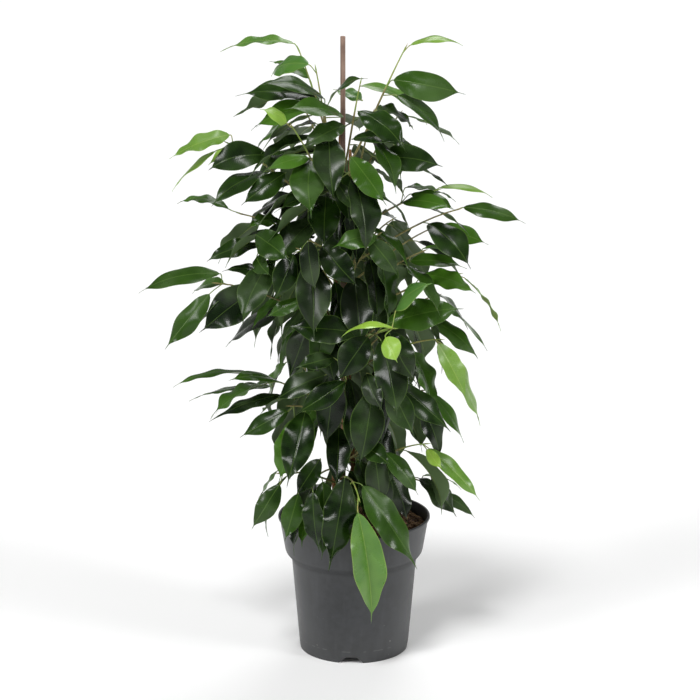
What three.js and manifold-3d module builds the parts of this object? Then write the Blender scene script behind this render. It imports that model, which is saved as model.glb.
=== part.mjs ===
// Weeping fig, a large-leaved green form, grown up a cane in a nursery pot.
// Millimetres, +Z up. The origin is the middle of the pot's underside, and -Y is the front.
import * as THREE from "three";
import { mergeVertices } from "three/addons/utils/BufferGeometryUtils.js";
import Module from "manifold-3d";

const wasm = await Module();
wasm.setup();

// Driving dimensions
const GAP = 0.3; // clearance between neighbouring pieces
const FLATNESS = 0.01; // corners nearer than this to a straight edge or flat face are left out
const OVERSHOOT = 1; // how far a cut reaches past the face that it opens

const POT_HEIGHT = 191;
const RIM_R = 105; // outside of the rolled lip
const LIP_HEIGHT = 4;
const LIP_EDGE = 0.8; // bevel along the lip's edges
const COLLAR_TOP_R = 103.5;
const COLLAR_LOW_R = 95;
const COLLAR_LOW_Z = 140;
const BODY_TOP_R = 86.5;
const BODY_TOP_Z = 131;
const BASE_R = 75.4;
const WALL = 1.6;
const FLOOR = 2.2;
const POT_SIDES = 36;

const DRAINS = 4; // channels under the floor that end in a notch at the base
const FIRST_DRAIN = -3; // degrees, because the pot stands a little turned
const NOTCH_HEIGHT = 9;
const NOTCH_FOOT = 34; // width of the notch where it meets the ground
const NOTCH_TOP = 15;
const CHANNEL_START = 46; // the middle of the floor stays flat on the ground
const DRAIN_HOLE_R = 4;
const DRAIN_HOLE_AT = 60;
const HOLE_SIDES = 10;

const SOIL_EDGE_Z = 176;
const SOIL_CROWN = 2.5; // the soil stands a little higher in the middle
const SOIL_CROWN_R = 45;
const HOLE_TOP_Z = 196; // the holes for the stems and the cane are cut from up here

const CANE = { x: -15, y: 0, r: 3.4, foot: 30, top: 850 };
const CANE_SIDES = 12;

const STEM_R = 3.3;
const STEM_FOOT = 90;
const STEM_TOPS = [700, 720, 690];
const STEM_STARTS = [250, 10, 130]; // degrees round the cane, where each leaves the soil
const STEM_REACH = 9.6; // from the cane's axis, high up
const STEM_SPREAD = 9; // further out than that at the soil
const STEM_SPREAD_FADE = 160;
const STEM_TWIST = 0.19; // degrees for each millimetre of height
const STEM_SIDES = 6;
const STEM_STEPS = 12;
const HOLE_STEPS = 6;

const TWIG_R = 1.7;
const SHOOT_R = 1.2;
const TWIG_SIDES = 4;
const TWIG_STEPS = 4;
const TWIG_COLLAR = 4; // straight out of the stem before the twig bends up
const ARCH_AT = 0.55; // a twig's arch is highest at this share of its run
const SHOOT_STEPS = 2;
const BUD_LENGTH = 10; // the slim pointed bud at each tip
const BUD_SUNK = 2;
const BUD_WIDTH = 0.95; // of the twig that bears it
const WOOD_SHARE = 0.74; // past this share of its length a twig with a shoot is green
const SHIFT_STEPS = [0, 10, -10, 20, -20, 30, -30, 40, -40]; // up or down the stem, to find room

const BLADE = 1.6; // thickness along the midrib
const STATIONS = [0.2, 0.5, 0.82]; // cross sections of a blade, as shares of its length
const TAIL_START = 0.88; // a blade is egg-shaped up to here, and its drip tip runs on from there
const EGG = 0.85;
const TAIL_WIDTH = 0.085;
const TAIL_TAPER = 0.6;
const HOOK_START = 0.8; // the drip tip may curl down from here on
const HOOK_DEPTH = 0.96;
const PITCHES = [-88, 60]; // lowest and highest pitch of a blade, degrees

const STALK_R = 0.8;
const STALK_LEAST = 12;
const STALK_MOST = 26;
const STALK_RISE = 12; // degrees, with this share of the blade's own pitch
const STALK_FOLLOW = 0.45;

const FIRST_ROOT = 0.12; // shares of a twig's length between which its leaves stand
const LAST_ROOT = 0.97;
const ROOT_MARGIN = 0.06; // kept free of leaves either side of the green shoot's start
const ROOT_STEPS = 40;
const MARKED_FOLD = 8;
const MARKED_TILT = 20; // a marked leaf shows its face to the front by at least this
const MARKED_HOOK = 0.15;
const END_LEAF_FROM = 0.85; // a marked leaf from here on ends the twig, and the filling leaves stop short
const FILL_START = 0.2;
const FILL_STOP = 0.76;
const FILL_FAN = [58, 32]; // degrees off the twig near its foot and near its tip
const FILL_DROOPS = [-20, 86];
const FIRST_SEED = 101;

// Draws for a filling leaf, each as its middle and how far off it may fall: degrees, mm or shares.
const DRAWS = {
  fan: 14,
  droop: 16,
  length: [0.96, 0.12],
  width: [0.43, 0.05],
  stalk: [17, 4],
  bend: [34, 16],
  hook: [0.4, 0.5],
  sway: [0, 0.07],
  fold: [15, 8],
  roll: [0, 26],
};

// What a leaf that would cross another may do, in this order.
const SCALES = [1, 0.82];
const DIPS = [0, -12, 12, -24, 24];
const TURNS = [0, 12, -12, 24, -24, 38, -38];

// Twigs: name, height on the stem, tip, arch, filling leaves, their length and hang, green shoot.
// Under each are the leaves that mark the plant's outline and front:
// base of the blade, its tip, arch, tilt to the front, width over length, on the shoot.
const TWIGS = [
  ["top_far_left", 690, [-72, 8, 828], 0.06, 3, 100, 14, true, [
    [[-80, 5, 840], [-180, 15, 825], 40, 0, 0.24, true],
    [[-66, 22, 808], [-118, 60, 808], 35, 0, 0.3, false],
  ]],
  ["top_left", 660, [-50, -14, 806], 0.06, 4, 100, 14, true, [
    [[-50, 15, 775], [-100, 50, 765], 45, 0, 0.4, false],
    [[-30, -30, 775], [10, -60, 800], 60, 10, 0.4, false],
    [[-60, -20, 815], [-115, 25, 785], 60, 20, 0.44, true],
    [[-40, -25, 795], [-115, -70, 790], 50, 10, 0.4, false],
    [[-55, -25, 785], [-155, -40, 770], 40, 10, 0.36, false],
  ]],
  ["top_right", 690, [66, 0, 832], 0.03, 2, 84, 30, true, [
    [[74, -6, 839], [146, 0, 834], 62, 0, 0.27, true],
    [[60, -5, 805], [140, -30, 760], 30, 42, 0.42, false],
  ]],
  ["top_middle", 672, [8, 24, 784], 0.05, 3, 96, 20, true, [
    [[10, 45, 760], [-30, 70, 770], 20, 0, 0.55, true],
    [[5, 35, 735], [-30, 60, 700], 35, -10, 0.42, false],
    [[15, 30, 740], [45, 60, 700], 35, -10, 0.42, false],
    [[5, 20, 785], [100, 25, 720], 62, 5, 0.24, true],
  ]],
  ["top_front_left", 645, [-40, -42, 760], 0.08, 4, 104, 20, false, [
    [[-45, -32, 762], [-135, -40, 720], 50, 10, 0.42, false],
    [[-15, -40, 750], [-80, -105, 760], 40, 15, 0.38, false],
    [[-12, -45, 738], [-55, -95, 705], 50, 15, 0.4, false],
  ]],
  ["high_left_front", 625, [-80, -62, 738], 0.08, 4, 104, 24, true, [
    [[-90, -85, 750], [-116, -105, 761], 60, 30, 0.75, true],
    [[-60, -70, 700], [-110, -105, 680], 45, 10, 0.4, false],
  ]],
  ["top_front_right", 640, [24, -30, 750], 0.08, 3, 96, 34, false, [
    [[30, -20, 755], [90, 25, 715], 45, 10, 0.4, false],
    [[5, -30, 755], [65, -65, 700], 60, 10, 0.42, false],
    [[-5, -45, 720], [80, -65, 705], 50, 5, 0.36, false],
    [[30, -40, 695], [115, -55, 670], 40, 35, 0.42, false],
  ]],
  ["top_back_right", 640, [60, 50, 738], 0.1, 5, 100, 20, false, [
  ]],
  ["top_back_left", 630, [-66, 58, 744], 0.1, 6, 100, 20, false, [
  ]],
  ["left_high", 600, [-166, -4, 708], 0.12, 3, 100, 20, true, [
    [[-165, -5, 720], [-240, -30, 685], 35, 15, 0.34, true],
    [[-195, -5, 695], [-245, 5, 640], 30, 0, 0.24, true],
    [[-125, -15, 715], [-180, -45, 655], 75, 35, 0.46, false],
    [[-160, 20, 700], [-195, 10, 675], 20, 15, 0.4, true],
    [[-90, -35, 675], [-135, -65, 625], 40, 25, 0.42, false],
    [[-80, 20, 630], [-140, 55, 590], 45, 20, 0.44, false],
  ]],
  ["left_high_back", 560, [-150, 22, 608], 0.1, 4, 98, 14, false, [
    [[-100, 0, 605], [-135, -50, 600], 35, 10, 0.4, true],
    [[-170, 25, 615], [-245, 35, 615], 70, 0, 0.26, true],
  ]],
  ["left_upper", 510, [-126, -14, 574], 0.14, 3, 100, 46, false, [
    [[-135, -40, 600], [-100, -95, 555], 40, 35, 0.46, false],
    [[-130, 20, 565], [-195, -10, 540], 50, 15, 0.38, false],
    [[-130, -30, 560], [-125, -80, 535], 40, 30, 0.42, false],
  ]],
  ["left_middle", 455, [-182, -22, 522], 0.14, 3, 104, 34, false, [
    [[-180, -20, 535], [-290, -30, 500], 45, 12, 0.28, true],
    [[-195, -40, 510], [-245, -55, 430], 20, 30, 0.32, false],
    [[-175, -10, 520], [-230, 30, 490], 40, 10, 0.34, true],
    [[-130, -35, 520], [-200, -60, 455], 15, 50, 0.5, false],
    [[-105, 5, 520], [-175, -20, 530], 70, 5, 0.4, false],
    [[-100, 0, 500], [-135, -20, 455], 40, 0, 0.26, false],
  ]],
  ["left_lower", 345, [-130, 8, 384], 0.12, 3, 104, 20, false, [
    [[-140, 10, 390], [-250, 20, 365], 45, -15, 0.2, false],
    [[-100, -20, 385], [-165, -70, 400], 35, -5, 0.34, false],
    [[-115, 30, 365], [-230, 45, 340], 30, -15, 0.26, false],
    [[-100, -20, 365], [-195, -45, 335], 25, -5, 0.3, false],
  ]],
  ["left_low_front", 325, [-84, -74, 366], 0.14, 3, 108, 50, false, [
    [[-80, -80, 345], [-90, -105, 265], 25, 20, 0.46, false],
    [[-80, -70, 365], [-145, -95, 315], 35, 25, 0.38, false],
  ]],
  ["left_foot", 240, [-98, -66, 270], 0.14, 3, 104, 60, false, [
    [[-100, -85, 260], [-125, -105, 195], 35, 20, 0.4, false],
    [[-105, -40, 265], [-135, -50, 215], 20, -30, 0.3, false],
  ]],
  ["right_high", 590, [110, 16, 642], 0.1, 3, 96, 28, true, [
    [[115, 20, 645], [190, 30, 625], 50, 0, 0.22, true],
    [[75, 25, 655], [140, 45, 620], 40, -10, 0.3, false],
    [[80, -10, 645], [125, -50, 620], 50, 10, 0.36, false],
    [[65, -30, 635], [120, -75, 625], 45, 10, 0.36, false],
  ]],
  ["right_upper", 545, [136, -22, 622], 0.1, 3, 92, 26, false, [
    [[145, -20, 625], [225, -40, 600], 35, 15, 0.32, false],
  ]],
  ["right_upper_back", 520, [108, 32, 588], 0.1, 3, 98, 36, false, [
    [[105, 30, 590], [180, 15, 560], 30, 25, 0.4, false],
    [[115, 35, 585], [135, 20, 550], 30, 15, 0.42, true],
  ]],
  ["right_mid_front", 500, [90, -26, 566], 0.1, 3, 100, 40, false, [
    [[90, -20, 570], [150, -50, 570], 30, 0, 0.24, true],
    [[75, -35, 555], [145, -65, 545], 40, 10, 0.36, false],
  ]],
  ["right_middle", 470, [138, 0, 530], 0.12, 3, 100, 38, true, [
    [[150, -5, 525], [200, 5, 450], 30, -20, 0.26, true],
    [[95, 0, 530], [155, -40, 505], 45, 15, 0.42, false],
  ]],
  ["right_middle_back", 425, [112, 46, 490], 0.14, 4, 100, 40, false, [
    [[110, 45, 490], [185, 50, 410], 25, -15, 0.24, false],
    [[110, 20, 445], [170, 30, 395], 40, 10, 0.36, false],
  ]],
  ["right_lower_front", 395, [112, -44, 450], 0.16, 4, 104, 58, true, [
    [[110, -50, 450], [145, -60, 365], 22, 20, 0.36, true],
    [[130, -25, 430], [170, -30, 320], 18, 10, 0.3, true],
  ]],
  ["right_lower", 320, [104, 4, 368], 0.16, 4, 104, 56, false, [
    [[105, 0, 365], [150, 0, 290], 25, 10, 0.36, false],
  ]],
  ["right_low", 252, [96, -28, 300], 0.14, 3, 104, 52, true, [
    [[100, -25, 295], [170, -35, 215], 20, 15, 0.26, true],
    [[95, -30, 300], [115, -45, 265], 20, 30, 0.46, true],
  ]],
  ["right_foot", 236, [106, 28, 224], 0.22, 2, 90, 30, false, [
    [[95, 25, 240], [150, 30, 215], 55, -10, 0.2, false],
    [[110, 30, 215], [170, 30, 170], 35, 10, 0.28, false],
  ]],
  ["front_high", 615, [-6, -84, 698], 0.14, 4, 100, 50, false, [
    [[-5, -85, 705], [30, -105, 635], 30, 30, 0.42, false],
    [[-30, -85, 660], [-5, -100, 630], 40, 10, 0.44, true],
    [[-20, -50, 680], [15, -70, 615], 35, 0, 0.4, false],
  ]],
  ["front_upper_left", 515, [-72, -70, 578], 0.16, 4, 104, 58, false, [
    [[-25, -75, 590], [-10, -105, 525], 35, 25, 0.5, false],
    [[-60, -75, 590], [-60, -105, 525], 30, 20, 0.48, false],
    [[-80, -60, 570], [-95, -95, 510], 25, 20, 0.46, false],
  ]],
  ["front_upper_right", 530, [32, -78, 600], 0.16, 4, 104, 58, false, [
    [[35, -75, 600], [-20, -115, 580], 50, 20, 0.5, false],
    [[20, -85, 595], [35, -110, 540], 45, 30, 0.46, false],
  ]],
  ["front_middle_left", 450, [-56, -72, 514], 0.16, 4, 108, 64, false, [
    [[-55, -70, 515], [-115, -90, 485], 30, 20, 0.36, true],
  ]],
  ["front_middle", 420, [52, -98, 478], 0.16, 3, 108, 60, true, [
    [[55, -85, 500], [85, -125, 540], 60, 30, 0.7, true],
    [[55, -80, 490], [150, -75, 485], 35, 30, 0.42, false],
    [[55, -100, 480], [-15, -115, 460], 80, 10, 0.16, true],
    [[40, -120, 470], [50, -140, 440], 30, 30, 0.75, true],
    [[65, -90, 475], [65, -110, 400], 30, 20, 0.52, false],
    [[15, -95, 465], [-10, -120, 405], 35, 25, 0.56, false],
    [[-5, -85, 470], [-90, -105, 465], 30, 30, 0.42, false],
  ]],
  ["front_lower_left", 372, [-20, -86, 430], 0.18, 4, 108, 64, false, [
    [[-45, -75, 405], [-100, -110, 370], 40, 20, 0.42, false],
    [[-25, -80, 435], [-70, -120, 420], 35, 25, 0.42, false],
    [[-10, -90, 395], [-70, -110, 355], 30, 30, 0.4, false],
  ]],
  ["front_lower_right", 345, [44, -92, 404], 0.18, 4, 110, 60, false, [
    [[70, -60, 390], [125, -75, 320], 25, 20, 0.38, false],
    [[15, -90, 415], [25, -125, 365], 35, 20, 0.46, false],
    [[45, -95, 405], [70, -115, 330], 25, 20, 0.46, false],
  ]],
  ["front_low_left", 262, [-60, -96, 262], 0.22, 3, 110, 66, false, [
    [[-45, -85, 305], [-70, -110, 245], 30, 20, 0.44, false],
    [[-75, -95, 250], [-85, -110, 185], 25, 15, 0.42, false],
    [[-55, -105, 255], [-55, -120, 175], 25, 10, 0.4, false],
  ]],
  ["front_low", 250, [6, -112, 250], 0.26, 2, 110, 70, true, [
    [[-20, -110, 280], [-30, -130, 150], 25, 10, 0.36, false],
    [[5, -115, 230], [15, -120, 70], 22, 5, 0.3, true],
    [[20, -105, 260], [75, -115, 140], 22, 15, 0.34, false],
  ]],
  ["front_low_right", 270, [36, -80, 310], 0.2, 4, 104, 64, false, [
    [[40, -75, 305], [80, -90, 240], 30, 25, 0.36, false],
    [[10, -90, 315], [40, -120, 290], 50, 20, 0.55, false],
  ]],
];

const BACK_TWIGS = 6; // these fill the side away from the front, alternately left and right
const BACK_FROM = [262, 600]; // height on the stem of the lowest and the highest
const BACK_REACH = [124, 90];
const BACK_RISE = 58;
const BACK_SHIFT = -8; // to the left
const BACK_FAN = [50, 18]; // degrees either side of straight back, halfway up and at the ends
const BACK_ARCH = 0.16;
const BACK_LEAVES = 8;
const BACK_SIZE = 106;
const BACK_HANG = 50;

const FINISHES = {
  leaf: { color: 0x2f5a2c, roughness: 0.4 },
  young: { color: 0x86b04c, roughness: 0.45 },
  bark: { color: 0x6b4a33, roughness: 0.8 },
  cane: { color: 0x855c52, roughness: 0.7 },
  soil: { color: 0x4a382c, roughness: 0.95 },
  pot: { color: 0x46474b, roughness: 0.5 },
};

const { lerp, clamp, degToRad: rad } = THREE.MathUtils;
const vec = (x, y, z) => new THREE.Vector3(x, y, z);
const aboutZ = (radius, turn) => vec(radius * Math.cos(turn), radius * Math.sin(turn), 0);

// Random draws that come out the same on every run.
const SEED_MIX = 2654435761;
const ROLL_FACTOR = 1664525;
const ROLL_STEP = 1013904223;
const ROLL_RANGE = 2 ** 32;

class Dice {
  constructor(seed) {
    this.state = Math.imul(seed, SEED_MIX) >>> 0;
    this.roll();
  }

  roll() {
    this.state = (Math.imul(this.state, ROLL_FACTOR) + ROLL_STEP) >>> 0;
    return this.state / ROLL_RANGE;
  }

  around(middle, spread) {
    return middle + (2 * this.roll() - 1) * spread;
  }
}

// Solids and meshes
function solidOf(geometry) {
  const bare = new THREE.BufferGeometry().setAttribute("position", geometry.getAttribute("position"));
  const merged = mergeVertices(bare.setIndex(geometry.index), 1e-4);
  return new wasm.Manifold(new wasm.Mesh({
    numProp: 3,
    vertProperties: merged.getAttribute("position").array,
    triVerts: new Uint32Array(merged.index.array),
  }));
}

function meshOf(name, solid, material) {
  const made = solid.getMesh();
  const geometry = new THREE.BufferGeometry();
  geometry.setAttribute("position", new THREE.BufferAttribute(made.vertProperties, 3));
  geometry.setIndex(new THREE.BufferAttribute(made.triVerts, 1));
  geometry.computeVertexNormals();
  const mesh = new THREE.Mesh(geometry, material);
  mesh.name = name;
  return mesh;
}

// Joins solids and drops the corners that lie on a straight edge of the result.
function fused(solids) {
  return wasm.Manifold.union(solids).asOriginal().simplify(FLATNESS);
}

function turned(profile, sides) {
  const points = profile.map(([r, z]) => new THREE.Vector2(r, z));
  return solidOf(new THREE.LatheGeometry(points, sides).rotateX(Math.PI / 2));
}

function polygon(radius, sides) {
  const corners = [];
  for (let i = 0; i < sides; i += 1) {
    const a = (2 * Math.PI * i) / sides;
    corners.push(new THREE.Vector2(radius * Math.cos(a), radius * Math.sin(a)));
  }
  return new THREE.Shape(corners);
}

function tube(path, radius, sides, steps) {
  return solidOf(new THREE.ExtrudeGeometry(polygon(radius, sides), { steps, extrudePath: path }));
}

function rod(radius, from, to, x, y, sides) {
  const cylinder = new THREE.CylinderGeometry(radius, radius, to - from, sides);
  return solidOf(cylinder.rotateX(Math.PI / 2).translate(x, y, (from + to) / 2));
}

// Pot: a thin shell whose floor is raised over four channels, with a drain hole in each roof.
function wallProfile(inset, floor, top) {
  const share = (top - COLLAR_LOW_Z) / (POT_HEIGHT - COLLAR_LOW_Z);
  return [
    [0, floor],
    [BASE_R - inset, floor],
    [BODY_TOP_R - inset, BODY_TOP_Z],
    [COLLAR_LOW_R - inset, COLLAR_LOW_Z],
    [lerp(COLLAR_LOW_R, COLLAR_TOP_R, share) - inset, top],
  ];
}

// A trapezoid that runs outwards under the floor, larger by `grow` all round.
function channel(turn, grow) {
  const shape = new THREE.Shape([
    new THREE.Vector2(-NOTCH_FOOT / 2 - grow, -OVERSHOOT),
    new THREE.Vector2(NOTCH_FOOT / 2 + grow, -OVERSHOOT),
    new THREE.Vector2(NOTCH_TOP / 2 + grow, NOTCH_HEIGHT + grow),
    new THREE.Vector2(-NOTCH_TOP / 2 - grow, NOTCH_HEIGHT + grow),
  ]);
  const start = CHANNEL_START - grow;
  const geometry = new THREE.ExtrudeGeometry(shape, { depth: RIM_R - start, bevelEnabled: false });
  return solidOf(geometry.translate(0, 0, start).rotateX(Math.PI / 2).rotateZ(turn));
}

function roundTheFloor(make) {
  const all = [];
  for (let i = 0; i < DRAINS; i += 1) all.push(make(rad(FIRST_DRAIN + (360 * i) / DRAINS)));
  return wasm.Manifold.union(all);
}

function channels(grow) {
  return roundTheFloor((turn) => channel(turn, grow));
}

function drainHoles() {
  return roundTheFloor((turn) => {
    const at = aboutZ(DRAIN_HOLE_AT, turn - Math.PI / 2);
    return rod(DRAIN_HOLE_R, 0, NOTCH_HEIGHT + 2 * WALL, at.x, at.y, HOLE_SIDES);
  });
}

function potSolid() {
  const underLip = POT_HEIGHT - LIP_HEIGHT;
  const outside = wallProfile(0, 0, underLip);
  outside.push([RIM_R, underLip + LIP_EDGE], [RIM_R, POT_HEIGHT - LIP_EDGE]);
  outside.push([RIM_R - LIP_EDGE, POT_HEIGHT], [0, POT_HEIGHT]);
  const inside = wallProfile(WALL, FLOOR, POT_HEIGHT + OVERSHOOT);
  inside.push([0, POT_HEIGHT + OVERSHOOT]);
  const cavity = turned(inside, POT_SIDES).subtract(channels(WALL));
  return turned(outside, POT_SIDES).subtract(cavity).subtract(channels(0)).subtract(drainHoles());
}

// Soil: fills the pot, with plain holes for the stems and the cane.
function soilSolid(holes) {
  const profile = wallProfile(WALL + GAP, FLOOR + GAP, SOIL_EDGE_Z);
  profile.push([SOIL_CROWN_R, SOIL_EDGE_Z + SOIL_CROWN], [0, SOIL_EDGE_Z + SOIL_CROWN]);
  return turned(profile, POT_SIDES).subtract(channels(WALL + GAP)).subtract(wasm.Manifold.union(holes));
}

// Stems: they rise round the cane in a slow twist and lean out towards the soil.
class StemCurve extends THREE.Curve {
  constructor(index, foot, top) {
    super();
    Object.assign(this, { index, foot, top });
  }

  at(z) {
    const reach = STEM_REACH + STEM_SPREAD * Math.exp(-(z - SOIL_EDGE_Z) / STEM_SPREAD_FADE);
    const turn = rad(STEM_STARTS[this.index] + STEM_TWIST * (z - SOIL_EDGE_Z));
    return aboutZ(reach, turn).add(vec(CANE.x, CANE.y, z));
  }

  getPoint(t, target = vec(0, 0, 0)) {
    return target.copy(this.at(this.foot + (this.top - this.foot) * t));
  }
}

// A stretch of another curve, from one of its parameters to another.
class Stretch extends THREE.Curve {
  constructor(whole, from, to) {
    super();
    Object.assign(this, { whole, from, to });
  }

  getPoint(t, target = vec(0, 0, 0)) {
    return this.whole.getPoint(this.from + (this.to - this.from) * t, target);
  }
}

// What already stands, so that a new piece can be kept clear of it.
class Crowd {
  constructor() {
    this.members = [];
  }

  add(solid, node, kind) {
    this.members.push({ solid, node, kind, box: solid.boundingBox() });
  }

  isClear(solid, mayTouch = () => false) {
    const box = solid.boundingBox();
    return !this.members.some((other) => {
      const near = [0, 1, 2].every((i) => box.min[i] <= other.box.max[i] && other.box.min[i] <= box.max[i]);
      if (!near || mayTouch(other)) return false;
      const common = solid.intersect(other.solid);
      const touching = !common.isEmpty();
      common.delete();
      return touching;
    });
  }
}

// Twigs: each leaves the nearest stem level and bends up to its tip, which ends in a slim bud.
function stemNearest(stems, z, tip) {
  const towards = Math.atan2(tip.y - CANE.y, tip.x - CANE.x);
  const turnFrom = (stem) => {
    const foot = stem.at(z);
    const d = Math.atan2(foot.y - CANE.y, foot.x - CANE.x) - towards;
    return Math.abs(Math.atan2(Math.sin(d), Math.cos(d)));
  };
  return stems.reduce((best, stem) => (turnFrom(stem) < turnFrom(best) ? stem : best));
}

function twigPath(stems, row, shift) {
  const tip = vec(...row.tip);
  const foot = stemNearest(stems, row.from, tip).at(row.from + shift);
  const out = vec(tip.x - foot.x, tip.y - foot.y, 0).normalize();
  const start = foot.clone().addScaledVector(out, STEM_R + GAP);
  const run = tip.clone().sub(start);
  const knee = start.clone().addScaledVector(out, TWIG_COLLAR);
  const arched = start.clone().addScaledVector(run, ARCH_AT);
  arched.z += row.arch * run.length();
  return new THREE.CubicBezierCurve3(start, knee, arched, tip);
}

function bud(path, radius) {
  const cone = new THREE.ConeGeometry(radius, BUD_LENGTH, TWIG_SIDES);
  const ahead = path.getTangent(1);
  cone.applyQuaternion(new THREE.Quaternion().setFromUnitVectors(vec(0, 1, 0), ahead));
  const middle = path.getPoint(1).addScaledVector(ahead, BUD_LENGTH / 2 - BUD_SUNK);
  return solidOf(cone.translate(middle.x, middle.y, middle.z));
}

function twigSolid(path, radius, steps, grow, budded) {
  const parts = [tube(path, radius + grow, TWIG_SIDES, steps)];
  if (budded) parts.push(bud(path, BUD_WIDTH * radius + grow));
  return wasm.Manifold.union(parts);
}

function growTwig(row, stems, crowd) {
  for (const shift of SHIFT_STEPS) {
    const path = twigPath(stems, row, shift);
    const wood = new Stretch(path, 0, row.shoot ? WOOD_SHARE : 1);
    const gap = GAP / path.getLength();
    const green = new Stretch(path, WOOD_SHARE + gap, 1);
    const grown = [twigSolid(wood, TWIG_R, TWIG_STEPS, GAP, !row.shoot)];
    if (row.shoot) grown.push(twigSolid(green, SHOOT_R, SHOOT_STEPS, GAP, true));
    if (grown.every((solid) => crowd.isClear(solid))) {
      const parts = [twigSolid(wood, TWIG_R, TWIG_STEPS, 0, !row.shoot)];
      crowd.add(parts[0], row.name, "wood");
      const shoot = row.shoot ? [twigSolid(green, SHOOT_R, SHOOT_STEPS, 0, true)] : [];
      if (row.shoot) crowd.add(shoot[0], row.name + "_shoot", "wood");
      return { ...row, path, parts, shoot };
    }
  }
  throw new Error(row.name + " finds no room");
}

// Leaves: egg-shaped with a long thin tip, folded along the midrib and bent along their length.
function halfWidth(v) {
  const body = v < TAIL_START ? Math.sin(Math.PI * (v / TAIL_START) ** EGG) ** EGG : 0;
  const tail = TAIL_WIDTH * Math.max(0, 1 - v) ** TAIL_TAPER;
  return Math.max(body, tail);
}

function headed(heading, pitch) {
  return aboutZ(Math.cos(pitch), heading).setZ(Math.sin(pitch));
}

// A closed skin over rings of four points, up to a last point if there is one.
// The diagonals match on the upper and the lower face, so a thin blade doesn't cross itself.
function loft(rings, apex) {
  const faces = [0, 2, 1, 0, 3, 2];
  const last = 4 * (rings.length - 1);
  for (let ring = 0; ring < last; ring += 4) {
    for (let j = 0; j < 4; j += 1) {
      const a = ring + j;
      const b = ring + ((j + 1) % 4);
      if (j % 2 === 0) faces.push(a, b, b + 4, a, b + 4, a + 4);
      else faces.push(a, b, a + 4, b, b + 4, a + 4);
    }
  }
  const points = rings.flat();
  if (apex) {
    points.push(apex);
    for (let j = 0; j < 4; j += 1) faces.push(last + j, last + ((j + 1) % 4), last + 4);
  } else {
    faces.push(last, last + 1, last + 2, last, last + 2, last + 3);
  }
  return solidOf(new THREE.BufferGeometry().setFromPoints(points).setIndex(faces));
}

class Leaf {
  constructor(wish, { scale, dip, turn }) {
    const heading = wish.heading + rad(turn);
    const pitch = clamp(wish.pitch + rad(dip), ...PITCHES.map(rad));
    const rise = rad(STALK_RISE) + STALK_FOLLOW * pitch;
    this.root = wish.root;
    this.base = wish.base ?? this.root.clone().addScaledVector(headed(heading, rise), wish.stalk);
    this.ahead = headed(heading, pitch);
    const level = vec(-Math.sin(heading), Math.cos(heading), 0);
    const up = this.ahead.clone().cross(level);
    this.side = level.clone().multiplyScalar(Math.cos(wish.roll)).addScaledVector(up, -Math.sin(wish.roll));
    this.up = up.multiplyScalar(Math.cos(wish.roll)).addScaledVector(level, Math.sin(wish.roll));
    this.length = wish.length * scale;
    this.width = wish.width * scale;
    this.bend = wish.bend;
    this.hook = wish.hook;
    this.sway = wish.sway;
    this.fold = wish.fold;
  }

  // u runs from -1 at one edge to 1 at the other, v from 0 at the base to 1 at the tip.
  point(u, v, lift = 0) {
    const a = this.bend * v;
    const curl = this.length / this.bend;
    const normal = this.up.clone().multiplyScalar(Math.cos(a)).addScaledVector(this.ahead, Math.sin(a));
    const hook = HOOK_DEPTH * this.hook * this.length * Math.max(0, v - HOOK_START) ** 2;
    const half = (this.width / 2) * halfWidth(v);
    return this.base.clone()
      .addScaledVector(this.ahead, curl * Math.sin(a))
      .addScaledVector(this.up, -curl * (1 - Math.cos(a)))
      .addScaledVector(this.side, this.length * this.sway * v * v + u * half * Math.cos(this.fold))
      .addScaledVector(normal, Math.abs(u) * half * Math.sin(this.fold) + lift - hook);
  }

  // The stalk is a straight prism. At the root it is cut square, and at the base on the mitre with the blade.
  stalkRing(mitred, grow) {
    const along = this.base.clone().sub(this.root).normalize();
    const turn = new THREE.Quaternion().setFromUnitVectors(this.ahead, along);
    const mitre = along.clone().add(this.ahead);
    const side = this.side.clone().applyQuaternion(turn).multiplyScalar(STALK_R + grow);
    const up = this.up.clone().applyQuaternion(turn).multiplyScalar(STALK_R + grow);
    return [side.clone().negate(), up.clone().negate(), side, up].map((corner) => {
      if (!mitred) return corner.add(this.root);
      const slide = -corner.dot(mitre) / along.dot(mitre);
      return corner.addScaledVector(along, slide).add(this.base);
    });
  }

  bladeRing(v, grow) {
    const u = 1 + grow / ((this.width / 2) * halfWidth(v));
    const lift = BLADE / 2 + grow;
    return [this.point(-u, v), this.point(0, v, -lift), this.point(u, v), this.point(0, v, lift)];
  }

  stalk(grow) {
    return loft([this.stalkRing(false, grow), this.stalkRing(true, grow)]);
  }

  blade(grow) {
    const rings = STATIONS.map((v) => this.bladeRing(v, grow));
    return loft([this.stalkRing(true, grow), ...rings], this.point(0, 1 + (2 * grow) / this.length));
  }

  whole() {
    const rings = STATIONS.map((v) => this.bladeRing(v, 0));
    const stalk = [this.stalkRing(false, 0), this.stalkRing(true, 0)];
    return loft([...stalk, ...rings], this.point(0, 1));
  }
}

// Tries the leaf as wished, then dipped and turned, then smaller, until it is clear of the rest.
function settle(wish, node, crowd) {
  for (const scale of SCALES) {
    for (const dip of DIPS) {
      for (const turn of TURNS) {
        const leaf = new Leaf(wish, { scale, dip, turn });
        const blade = leaf.blade(GAP);
        const stalk = leaf.stalk(GAP);
        const ownWood = (other) => other.node === node && other.kind !== "blade";
        const clear = crowd.isClear(blade) && crowd.isClear(stalk, ownWood);
        blade.delete();
        stalk.delete();
        if (clear) {
          crowd.add(leaf.blade(0), node, "blade");
          crowd.add(leaf.stalk(0), node, "stalk");
          return leaf.whole();
        }
      }
    }
  }
  return null;
}

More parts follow.
